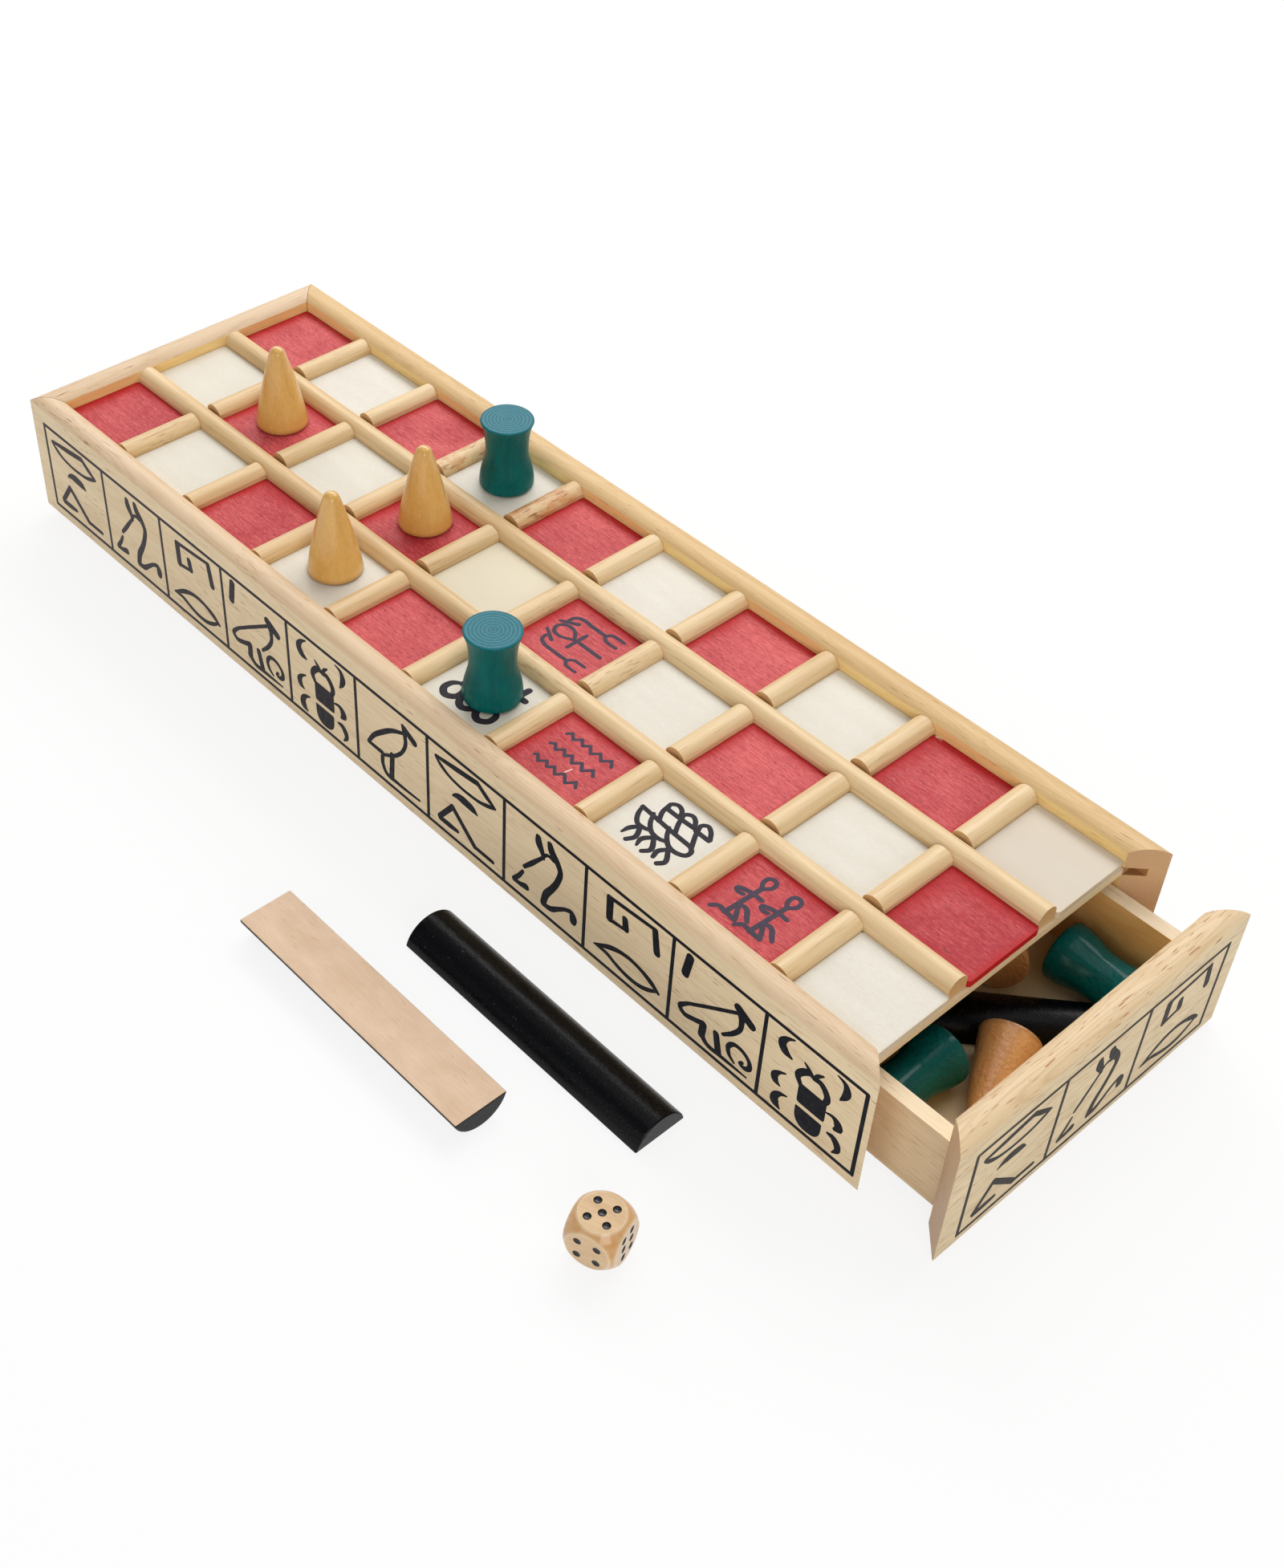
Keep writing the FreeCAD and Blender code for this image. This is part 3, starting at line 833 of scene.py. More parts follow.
@dataclass(frozen=True)
class Ink:
    """Printed ink that thins from one place to another."""

    name: str
    thin: Rgb
    full: Rgb
    thin_x: float = 0.0
    full_x: float = 0.0

    def material(self) -> Material:
        """The finish: tone from the place along X, with blotches where the stamp was dry.

        Returns:
            The material.
        """
        g = Graph(self.name)
        x, _, _ = g.axes()
        blotch = g.noise(0.5, 3.0, 1.0)
        tone = blotch * 0.6 - 0.3
        if self.thin_x != self.full_x:
            tone = tone + x.rising(self.thin_x * MM, self.full_x * MM)
        else:
            tone = tone + 0.5
        colour = g.mix(tone, self.thin, self.full)
        return g.finish(colour, blotch * 0.2 + 0.5, blotch, 0.01, shine=0.1)


@dataclass(frozen=True)
class PinSteel:
    """Bright drawn steel of the small pins."""

    name: str
    bright: Rgb = (188, 188, 192)
    dull: Rgb = (150, 150, 156)

    def material(self) -> Material:
        """The finish: grey metal with drawn scratches.

        Returns:
            The material.
        """
        g = Graph(self.name)
        scratch = g.noise((2.5, 2.5, 0.2), 3.0)
        colour = g.mix(scratch, self.bright, self.dull)
        return g.finish(colour, scratch * 0.2 + 0.3, scratch, 0.01, metal=1.0)


# --- surfaces ---


def add_object(name: str, data: bpy.types.ID) -> bpy.types.Object:
    """Puts a mesh, lamp or camera in the scene.

    Args:
        name: The object's name.
        data: What it shows.

    Returns:
        The object, at the origin.
    """
    made = bpy.data.objects.new(name, data)
    bpy.context.scene.collection.objects.link(made)
    return made


def signed_power(values: np.ndarray, power: float | np.ndarray) -> np.ndarray:
    """Each value's size raised to a power, with the value's sign kept."""
    return np.sign(values) * np.abs(values) ** power


@dataclass
class Skin:
    """Vertices and faces gathered from several surfaces, all in metres."""

    points: list[np.ndarray] = field(default_factory=list)
    faces: list[np.ndarray] = field(default_factory=list)
    count: int = 0

    def tube(self, rings: np.ndarray, start: np.ndarray, stop: np.ndarray) -> None:
        """Adds closed rings one after another, with a pole at each end.

        Ring i and ring i + 1 are joined by quads, and each end ring to its pole by triangles.

        Args:
            rings: Points, shaped rings by places by 3.
            start: Pole before the first ring.
            stop: Pole after the last ring.
        """
        n, m, _ = rings.shape
        first = self.count
        self.points.append(np.vstack([rings.reshape(-1, 3), start[None], stop[None]]))
        spot = first + np.arange(n * m).reshape(n, m)
        beside = np.roll(spot, -1, axis=1)
        quads = np.stack([spot[:-1], spot[1:], beside[1:], beside[:-1]], axis=-1)
        self.faces.append(quads.reshape(-1, 4))
        poles = np.full(m, first + n * m)
        self.faces.append(np.stack([poles, spot[0], beside[0]], axis=-1))
        self.faces.append(np.stack([poles + 1, beside[-1], spot[-1]], axis=-1))
        self.count += n * m + 2

    def piece(self, name: str, material: Material, body: str) -> None:
        """Makes a flat-shaded object of the surfaces.

        Args:
            name: The object's name.
            material: Its finish.
            body: The body that it rides on.
        """
        mesh = bpy.data.meshes.new(name)
        faces = [face for block in self.faces for face in block.tolist()]
        mesh.from_pydata(np.vstack(self.points).tolist(), [], faces)
        mesh.materials.append(material)
        mesh.validate()
        mesh.update()
        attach(add_object(name, mesh), body)
        log.info("drew %s", name)


@dataclass(frozen=True)
class Sheet:
    """A flat place to draw on: an origin and two directions across it."""

    origin: Place
    right: Place
    up: Place

    def lift(self, flat: np.ndarray, height: np.ndarray) -> np.ndarray:
        """Points over the sheet, in metres.

        Origin plus the first number along right, the second along up, and the height outwards.

        Args:
            flat: Places on the sheet, in millimetres.
            height: Height of each over it.

        Returns:
            The points.
        """
        out = np.cross(self.right, self.up)
        spots = flat[..., :1] * np.array(self.right) + flat[..., 1:] * np.array(self.up)
        return (np.array(self.origin) + spots + height[..., None] * out) * MM


@dataclass(frozen=True)
class Brush:
    """Lays strokes of ink as flattened closed beads, half of their height sunk in the wood."""

    bleed: float = 0.4
    thinnest_knot: float = 0.12
    thinnest: float = 0.1
    rise: float = 0.05
    stagger: float = 0.003
    layers: int = 9
    around: int = 10
    step: float = 0.7
    fewest_steps: int = 6
    cap_steps: int = 4
    pole_reach: float = 0.02
    squareness: float = 0.5

    def stroke(self, skin: Skin, sheet: Sheet, knots: Sequence[Knot], bend: bool) -> None:
        """Adds one stroke.

        The spine passes through the knots, as straight runs or as a cubic whose slope at a knot is
        the mean of its neighbours'. The half-width follows the knots' widths, and both ends go on
        past the last knots as half circles. Each cross-section is a superellipse of power 4, and a
        stroke is a hair higher than the one before, so that no two tops lie in one plane.

        Args:
            skin: Where it goes.
            sheet: What it is drawn on.
            knots: Place across, place up and width of each knot, in millimetres.
            bend: Whether the spine is curved.
        """
        table = np.array(knots, float)
        reach = np.r_[0, np.cumsum(np.hypot(*np.diff(table[:, :2], axis=0).T))]
        table[:, 2] = np.maximum((table[:, 2] + self.bleed) / 2, self.thinnest_knot)
        count = max(self.fewest_steps, int(reach[-1] / self.step) + 1) if bend else 2
        inner = np.linspace(0, reach[-1], count)
        if bend and len(table) > 2:
            line = self.curve(reach, table, inner)
        else:
            line = np.stack([np.interp(inner, reach, table[:, k]) for k in range(3)], axis=-1)
        line[:, 2] = np.maximum(line[:, 2], self.thinnest)
        turn = np.linspace(0, np.pi / 2, self.cap_steps + 1)[1:-1]
        head = self.cap(line[0], line[1], turn)
        tail = self.cap(line[-1], line[-2], turn)
        line = np.vstack([head, line, tail[::-1]])
        slope = np.gradient(line[:, :2], axis=0)
        slope /= np.maximum(np.hypot(*slope.T)[:, None], TINY)
        side = np.stack([slope[:, 1], -slope[:, 0]], axis=-1)
        angle = np.linspace(0, 2 * np.pi, self.around, endpoint=False) + np.pi / self.around
        across = signed_power(np.cos(angle), self.squareness)
        rise = self.rise + self.stagger * (len(skin.points) % self.layers)
        height = rise * signed_power(np.sin(angle), self.squareness)
        flat = line[:, None, :2] + side[:, None] * (line[:, None, 2:] * across[None, :, None])
        rings = sheet.lift(flat, np.broadcast_to(height, flat.shape[:2]))
        head, tail = line[0, :2], line[-1, :2]
        ends = [head - slope[0] * self.pole_reach, tail + slope[-1] * self.pole_reach]
        poles = sheet.lift(np.array(ends), np.zeros(2))
        skin.tube(rings, poles[0], poles[1])

    def curve(self, reach: np.ndarray, table: np.ndarray, inner: np.ndarray) -> np.ndarray:
        """The cubic through the knots.

        Between two knots it is the Hermite blend of their values and slopes.

        Args:
            reach: Distance of each knot along the spine.
            table: Values at the knots.
            inner: Distances to work out.

        Returns:
            Values there.
        """
        slopes = np.gradient(table, reach, axis=0)
        i = np.clip(np.searchsorted(reach, inner, side="right") - 1, 0, len(reach) - 2)
        span = (reach[i + 1] - reach[i])[:, None]
        t = (inner[:, None] - reach[i][:, None]) / span
        rest = (2 * t ** 3 - 3 * t ** 2 + 1) * table[i] + (3 * t ** 2 - 2 * t ** 3) * table[i + 1]
        lean = (t ** 3 - 2 * t ** 2 + t) * slopes[i] + (t ** 3 - t ** 2) * slopes[i + 1]
        return rest + lean * span

    def cap(self, end: np.ndarray, inside: np.ndarray, turn: np.ndarray) -> np.ndarray:
        """Half-circle end: at each angle, the place moves out by its cosine and narrows by its sine.

        Args:
            end: The spine's last place and half-width.
            inside: The place before it.
            turn: Angles from the tip.

        Returns:
            Places and half-widths, the tip first.
        """
        out = end[:2] - inside[:2]
        out = out / max(np.hypot(*out), TINY)
        spots = end[:2] + out * (end[2] * np.cos(turn))[:, None]
        return np.column_stack([spots, end[2] * np.sin(turn)])


@dataclass(frozen=True)
class Block:
    """A filled panel: its middle, its reach to the side, upwards and downwards, and its corners."""

    middle: tuple[float, float]
    side: float
    above: float
    below: float
    square_above: float
    square_below: float
    around: int = 48
    scales: tuple[float, ...] = (0.5, 0.985, 1.0, 0.985, 0.5)
    levels: tuple[float, ...] = (1.0, 1.0, 0.0, -1.0, -1.0)

    def draw(self, skin: Skin, sheet: Sheet, rise: float) -> None:
        """Adds the panel: superellipse rings that close over and under the sheet.

        A place is the reach times the cosine or sine raised to a power, with its sign kept. A small
        power gives square corners and 1 gives an ellipse; it differs above and below the middle.

        Args:
            skin: Where it goes.
            sheet: What it is drawn on.
            rise: Height of the ink over the wood.
        """
        angle = np.linspace(0, 2 * np.pi, self.around, endpoint=False)
        over = np.sin(angle) >= 0
        power = np.where(over, self.square_above, self.square_below)
        reach = np.where(over, self.above, self.below)
        across = signed_power(np.cos(angle), power) * self.side
        up = signed_power(np.sin(angle), power) * reach
        outline = np.stack([across, up], axis=-1)
        height = np.array(self.levels) * rise
        flat = np.array(self.middle) + outline[None] * np.array(self.scales)[:, None, None]
        rings = sheet.lift(flat, np.broadcast_to(height[:, None], flat.shape[:2]))
        poles = sheet.lift(np.array([self.middle, self.middle]), height[[0, -1]])
        skin.tube(rings, poles[0], poles[1])


@dataclass(frozen=True)
class Figure:
    """A traditional sign: curved strokes, straight runs and filled panels."""

    curves: tuple[tuple[Knot, ...], ...] = ()
    runs: tuple[tuple[Knot, ...], ...] = ()
    blocks: tuple[Block, ...] = ()

    def copies(self, *shifts: float) -> "Figure":
        """The same curves and runs at several places in a row.

        Args:
            shifts: How far to the right each copy goes.

        Returns:
            One figure with all of the copies.
        """
        both = []
        for strokes in (self.curves, self.runs):
            moved = ([(x + step, y, w) for x, y, w in knots] for step in shifts for knots in strokes)
            both.append(tuple(map(tuple, moved)))
        return Figure(*both)

    def draw(self, skin: Skin, sheet: Sheet, brush: Brush) -> None:
        """Draws every stroke and panel; a straight run with corners is drawn piece by piece.

        Args:
            skin: Where it goes.
            sheet: What it is drawn on.
            brush: What it is drawn with.
        """
        for knots in self.curves:
            brush.stroke(skin, sheet, knots, True)
        for knots in self.runs:
            for pair in zip(knots, knots[1:]):
                brush.stroke(skin, sheet, pair, False)
        for block in self.blocks:
            block.draw(skin, sheet, brush.rise)


class Sign(Enum):
    """Signs of the frieze, in millimetres from their cell's lower left corner."""

    MOUTH_LOAF_LEGS = Figure(
        curves=(
            ((4, 28.9, 0.6), (6.3, 27.1, 1.4), (9.6, 25.4, 1.1), (14.6, 24.4, 1), (20.3, 24.3, 1),
             (25.3, 24.9, 1.1), (28.8, 26.1, 1.3), (31.4, 27.1, 0.6)),
            ((11.9, 18.3, 0.4), (13.7, 19.3, 1.9), (16.2, 19.7, 3.1), (19, 19.6, 3.1), (21.6, 19.1, 2.4),
             (23.2, 18.3, 0.4)),
        ),
        runs=(
            ((4.3, 29.3, 1.1), (13.7, 30.4, 1.9), (23.5, 31.7, 1.9)),
            ((23.5, 31.7, 1.7), (27.5, 29.1, 1.9), (30.9, 27.3, 1)),
            ((5.4, 4.6, 1.6), (11.7, 13.2, 1.7)),
            ((5.8, 4.1, 1.9), (10.2, 4.2, 2.1), (13.9, 4.4, 1.3)),
            ((11.7, 13.2, 1.9), (22, 3.9, 1.9)),
            ((22, 3.8, 1.4), (30.4, 3.8, 1.3)),
        ),
    )
    HORNED_SNAKE = Figure(
        curves=(
            ((15, 30.1, 2.1), (15.3, 27.9, 2.9), (16.6, 25.4, 2.1), (17.4, 23.2, 0.9)),
            ((20, 30.9, 2.1), (20.8, 28.6, 3), (23.1, 26.1, 2.6), (24.6, 23.2, 2), (23.7, 18.6, 1.9),
             (21.4, 13.6, 2), (18.9, 9.3, 2.3), (17.7, 4.6, 2.1)),
            ((21.6, 25.6, 1.3), (19.5, 25.9, 1), (16.1, 22, 1), (12, 16.8, 1.4), (9.1, 13.3, 1.1)),
            ((17.7, 4.3, 1.9), (20.7, 4.6, 1.9), (24.1, 7.1, 1.4), (28, 9.9, 1.3), (30.1, 10.4, 1.9),
             (30.8, 8.6, 2.9), (30.7, 7.1, 2.4)),
        ),
        runs=(
            ((8.6, 10.9, 0.9), (7, 7.9, 1.3), (4.6, 4.6, 1.4)),
            ((4.6, 4.3, 1.3), (7.8, 4.6, 1.7), (10.1, 5.3, 2.4)),
        ),
    )
    COURTYARD_MOUTH = Figure(
        curves=(
            ((4.6, 5.7, 0.3), (7.7, 7.4, 1.1), (11.1, 9.4, 1.6), (15.4, 11, 1.4), (19.6, 11.4, 1.3),
             (23.9, 10.7, 1.4), (28.3, 8.9, 1.9), (31.1, 7, 1)),
            ((5.6, 5.9, 0.7), (9.9, 5.9, 1.3), (13.5, 4.6, 1.3), (19.3, 3.4, 1.4), (23.6, 3.7, 1.4),
             (27.1, 5.1, 1.3), (30.5, 7.3, 0.7)),
        ),
        runs=(
            ((16.3, 25.7, 2.1), (16.8, 22.1, 2.3)),
            ((17, 21.7, 1), (9.9, 20.6, 1.3)),
            ((10.1, 21, 2.4), (10, 29.1, 2.6)),
            ((9.5, 29.6, 1.3), (28.4, 31.3, 1.1)),
            ((28, 30.9, 2.1), (29.3, 22.6, 2.4)),
        ),
    )
    BIRD_AND_COIL = Figure(
        curves=(
            ((24.6, 25, 1), (17.9, 20.5, 1), (10.9, 15.7, 1), (6.4, 12.3, 1.1), (4.4, 9.4, 1.6),
             (5.8, 8, 1.6), (9.7, 8.7, 1.6), (13.6, 10.3, 1.7)),
            ((26.8, 24.1, 1.9), (26.7, 20.1, 1.4), (24.5, 16.2, 1.3), (20.9, 12.4, 0.9)),
            ((25.9, 4.8, 0.6), (23.9, 6.6, 1.3), (23.3, 9.4, 1.4), (25.3, 12.1, 1.3), (28.6, 12.1, 1.3),
             (31.5, 9.4, 1.4), (31.5, 7.4, 1.6), (29.5, 6, 1.3), (28, 6.6, 1), (28.9, 7.6, 0.9)),
            ((13.4, 5.1, 2), (15.3, 3.3, 1.7), (20.6, 3, 1.4), (25.6, 3, 1), (30.8, 3, 0.4)),
        ),
        runs=(
            ((6.4, 31.6, 2.6), (5.1, 24, 2.6)),
            ((25.2, 27.4, 3), (30.3, 24.6, 2.9)),
            ((26, 26.6, 2.9), (26.8, 23.7, 1.9)),
            ((13.6, 10, 2.3), (13.3, 5.1, 2.4)),
            ((18.5, 10.4, 2.1), (20, 3.7, 2.3)),
        ),
    )
    SCARAB = Figure(
        curves=(
            ((10.2, 32.6, 0.2), (7.7, 30.9, 1.3), (6.3, 28.2, 2.6), (7.5, 25.9, 2.9), (10, 24.9, 0.6)),
            ((25.5, 32.6, 0.2), (28.1, 31.6, 1.4), (29.2, 28.9, 2.4), (28.7, 26.8, 1.9),
             (27.4, 24.4, 0.2)),
            ((9, 17.4, 0.2), (6.6, 15.7, 1.1), (5.4, 13.4, 2.3), (5.9, 11.7, 2.3), (7.5, 10.9, 0.4)),
            ((23.9, 15.4, 0.3), (25.9, 15.9, 1), (27.9, 14.9, 2.4), (28.5, 12.9, 2.7), (27.4, 11.7, 1)),
            ((10.5, 9, 0.2), (8.1, 7.9, 1.3), (6.5, 5.4, 2.4), (6.8, 3.2, 3), (8.5, 1.9, 0.6)),
            ((25.5, 8.1, 0.7), (27.2, 8.1, 1.9), (29, 6.4, 2.4), (29.4, 4.3, 1.7), (27.9, 2.1, 0.2)),
            ((14.2, 18, 1.4), (12.9, 20.7, 1.9), (14.2, 23.2, 2.1), (16.6, 24.9, 1.9), (18.6, 24.1, 1)),
            ((22.7, 18, 1.4), (23.5, 20.4, 2), (22.5, 22.9, 2.1), (20.4, 24.6, 1.9), (18.2, 24.1, 1)),
            ((14.6, 27.4, 0.3), (16, 26.3, 1.1), (18.2, 24.1, 0.9)),
            ((21.1, 27.9, 0.3), (19.4, 26.4, 1.1), (18.2, 24.1, 0.9)),
        ),
        blocks=(
            Block((18.7, 14.6), 5.0, 4.1, 4.0, 0.12, 0.2),
            Block((18.4, 7.0), 4.75, 2.1, 5.6, 0.1, 0.8),
        ),
    )
    BIRD = Figure(
        curves=(
            ((23.4, 27.1, 1), (18.3, 24.6, 1.4), (12.7, 20.1, 1.6), (8.5, 15.9, 1.4), (5.8, 11.6, 1.1)),
            ((24.3, 26.9, 1.7), (24.6, 23.7, 1.4), (23.1, 19.4, 1.1), (19.3, 14.8, 1.1),
             (13.7, 11.2, 0.9)),
            ((12.8, 11.2, 1.4), (12.7, 6.6, 1.6), (14.2, 3.9, 1.6), (19.6, 3.4, 1.3), (30.6, 3.7, 0.7)),
        ),
        runs=(
            ((24.3, 29.4, 2.4), (28.8, 26.9, 2.6)),
            ((23.5, 30.1, 1.4), (24.3, 27.3, 1.9)),
            ((5.8, 11.4, 1.3), (12.6, 11.4, 1.6)),
            ((17.7, 13.9, 1.9), (17, 4.4, 2.1)),
        ),
    )


class Mark(Enum):
    """Marks of the last squares, in millimetres from the square's middle."""

    THREE_LUTES = Figure(
        curves=(
            ((-7.6, -2, 0.4), (-10.3, -4.5, 1.5), (-10.4, -7.6, 1.7), (-7.6, -9.5, 1.7),
             (-4.8, -7.6, 1.7), (-4.9, -4.5, 1.5), (-7.6, -2, 0.4)),
        ),
        runs=(
            ((-7.3, 11, 1.6), (-7.6, -2.2, 1.7)),
            ((-10.5, 6.8, 1.5), (-4.3, 6.8, 1.5)),
        ),
    ).copies(0.0, 7.52, 15.1)
    ANKH_AND_SCEPTRES = Figure(
        curves=(
            ((-1.1, -0.1, 1.1), (-3.6, 2.5, 1.2), (-6.7, 3.2, 1.3), (-9.2, 2, 1.3), (-9.8, 0.2, 1.3),
             (-8.5, -2, 1.3), (-6.1, -2.5, 1.2), (-3.4, -1.6, 1.1), (-1.1, -0.2, 1.1)),
            ((4, 8.6, 1.3), (-2.2, 8.5, 1.4), (-7.2, 8.4, 1.4), (-8.9, 7.2, 1.3), (-9.2, 4.5, 1.3)),
            ((4, 8.7, 1.2), (5.4, 10.4, 1.2), (7.6, 10.6, 1.2), (10.3, 10.7, 1.2)),
            ((4, 8.5, 1.2), (5.4, 7.1, 1.2), (7.6, 6.8, 1.2), (10.3, 6.9, 1.2)),
            ((4.5, -8.7, 1.3), (-2.2, -8.8, 1.3), (-6.3, -8.5, 1.3), (-8.3, -7.2, 1.2),
             (-8.7, -5.4, 1.2)),
            ((4.6, -8.6, 1.2), (6.1, -6.9, 1.1), (8.1, -6.7, 1.1), (10.8, -6.7, 0.9)),
            ((4.6, -8.9, 1.2), (6.1, -10.3, 1.1), (8.1, -10.5, 1), (10.5, -10.4, 0.9)),
        ),
        runs=(
            ((0, 4, 1.3), (0, -4.2, 1.3)),
            ((0, -0, 1.3), (10.5, -0, 1.3)),
            ((-11, 2.9, 1.1), (-5.7, 5.9, 1.5)),
            ((-11, -2.7, 0.9), (-5.8, -5.6, 1.3)),
        ),
    )
    WATER = Figure(
        runs=(
            ((-9.4, 6.9, 0.9), (-8.3, 8.3, 0.9), (-6.2, 6.5, 0.9), (-4.5, 8.6, 0.9), (-2.3, 6.8, 0.9),
             (-0.8, 8.6, 0.9), (1.6, 6.3, 0.9), (3.6, 8.6, 0.9), (5.9, 6.5, 0.9), (8.1, 9, 0.9),
             (9.9, 6.9, 0.9)),
            ((-9.6, 0.4, 0.9), (-8.3, 1.4, 0.9), (-6.5, -0.4, 0.9), (-4.7, 1.7, 0.9), (-2.7, -0.2, 0.9),
             (-1.3, 1.7, 0.9), (1, -0.6, 0.9), (3, 1.7, 0.9), (5.2, -0.6, 0.9), (7.4, 2.1, 0.9),
             (9.2, 0.2, 0.9)),
            ((-9.2, -6.3, 0.9), (-8.3, -5.6, 0.9), (-6.3, -7.5, 0.9), (-4.5, -5.5, 0.9),
             (-2.7, -7.2, 0.9), (-1.1, -5.5, 0.9), (1.2, -7.6, 0.9), (3, -5.3, 0.9), (5.9, -7.8, 0.9),
             (7.8, -5, 0.9), (9.4, -6.9, 0.9)),
        ),
    )
    THREE_BIRDS = Figure(
        curves=(
            ((-5.9, 7.5, 1), (-6.7, 9.4, 1.1), (-4.9, 10.9, 1.1), (-2.7, 10.2, 1.1), (-1.1, 7.8, 1.1)),
            ((-6.6, 8.9, 1), (-6.1, 5.8, 1.1), (-4.1, 2.2, 1.1)),
            ((-0.4, 7.5, 1), (-1, 9.6, 1.1), (1, 11, 1.1), (2.9, 10.1, 1.1), (4.5, 8, 1.1)),
            ((-0.9, 8.9, 1), (0.5, 5.6, 1.1), (2.6, 2.1, 1.1)),
            ((5.4, 8.5, 1), (5.4, 10.3, 1.1), (6.7, 11.4, 1.1), (8.7, 10.5, 1.1), (11, 7.8, 1.1)),
            ((5.2, 9.8, 1), (7, 6, 1.1), (9.5, 2, 1.1)),
            ((-11.4, 3, 0.8), (-10, -0.4, 1.1), (-7.4, -3, 1.1), (-4.9, -3, 1.1), (-2.7, -2.1, 1)),
            ((-7.2, 3.2, 0.8), (-4.9, -0.4, 1.1), (-2.2, -2.5, 1.1), (0.9, -2.8, 1.1), (3.7, -1.8, 0.9)),
            ((-0.2, 2.5, 0.9), (2.5, -1, 1.1), (5.4, -2.9, 1.2), (8.5, -2.9, 1.2), (10.9, -1.4, 1.2),
             (10.9, 0.4, 1.2), (9.2, 1.9, 1.1)),
            ((-6.2, -3.6, 1.1), (-7.7, -6.2, 1.3), (-8, -8.7, 0.4)),
            ((-5.7, -3.6, 1.1), (-3.9, -7.6, 1.3), (-5, -9.9, 1.2)),
            ((-0.4, -3.6, 1.1), (-2.2, -6.7, 1.3), (-1.4, -9.2, 0.5)),
            ((0, -3.6, 1.1), (2.6, -8, 1.3), (1.3, -9.8, 1.1)),
            ((5.7, -3.9, 1.1), (4.3, -6.5, 1.3), (5, -8.9, 1)),
            ((6.1, -3.9, 1.1), (8.7, -8.4, 1.3), (7.6, -9.9, 1.3)),
        ),
        runs=(
            ((-5.9, 7.5, 1.2), (-1.1, 7.5, 1.2)),
            ((-0.4, 7.5, 1.2), (4.5, 7.8, 1.2)),
            ((5.8, 7.4, 1.2), (10.9, 7.4, 1.2)),
            ((-11.3, 2.8, 1.1), (1.3, 2, 1.2)),
            ((1.3, 2, 1.2), (9.4, 1.8, 1.2)),
        ),
    )
    TWO_SEATED = Figure(
        curves=(
            ((-5.4, 5.5, 1), (-6.8, 7.8, 1.1), (-6.5, 9.9, 1.1), (-5.2, 10.6, 1.1), (-3.7, 9.7, 1.1),
             (-3.5, 7.8, 1.1), (-5.2, 5.5, 1)),
            ((-2.2, 2.2, 1.1), (-5.4, 2.3, 1.2), (-8.5, 1.7, 1.2), (-10.4, 0.7, 1.2), (-9.4, -0.1, 1.2),
             (-7.4, 0.1, 1.1)),
            ((-5.4, -3.8, 1.1), (-3.9, -3, 1.2), (-2.5, -3.4, 1.3), (-0.9, -5.1, 1.3), (0.5, -6.5, 1.1)),
            ((-5.2, -4, 1.1), (-3.6, -6.3, 1.2), (-2.3, -8.3, 1.1)),
            ((-2.2, -8.6, 1.2), (-6.1, -8.3, 1.3), (-9, -8.1, 1.2), (-10.5, -9.7, 1.1)),
        ),
        runs=(((-5.3, 5.5, 1.3), (-5.7, -1.8, 1.3)), ((-5.7, -1.8, 1.3), (-6.1, -8.5, 1.3))),
    ).copies(0.0, 9.42)


# --- sub-assemblies ---


def dress(node: str, material: Material) -> None:
    """Gives a CAD node its finish, in every one of its material slots.

    Args:
        node: The node's name.
        material: The finish.
    """
    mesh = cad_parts[node].data
    if not mesh.materials:
        mesh.materials.append(material)
    for index in range(len(mesh.materials)):
        mesh.materials[index] = material
    log.info("dressed %s with %s", node, material.name)


@dataclass(frozen=True)
class Frieze:
    """A ruled frame with a sign in each cell, on one outer face of the case."""

    name: str
    body: str
    sheet: Sheet
    rules: tuple[float, ...]
    low: float
    high: float
    ink: Ink
    line_width: float = 1.0

    def build(self) -> None:
        """Draws the frame's lines, and the signs in order, each from its cell's lower left corner."""
        brush = Brush()
        skin = Skin()
        first, last = self.rules[0], self.rules[-1]
        w = self.line_width
        for level in (self.low, self.high):
            brush.stroke(skin, self.sheet, ((first, level, w), (last, level, w)), False)
        for rule in self.rules:
            brush.stroke(skin, self.sheet, ((rule, self.low, w), (rule, self.high, w)), False)
        for left, sign in zip(self.rules[:-1], itertools.cycle(Sign)):
            corner = self.sheet.lift(np.array([left, self.low]), np.array(0.0)) / MM
            cell = Sheet(tuple(corner), self.sheet.right, self.sheet.up)
            sign.value.draw(skin, cell, brush)
        skin.piece(self.name, self.ink.material(), self.body)


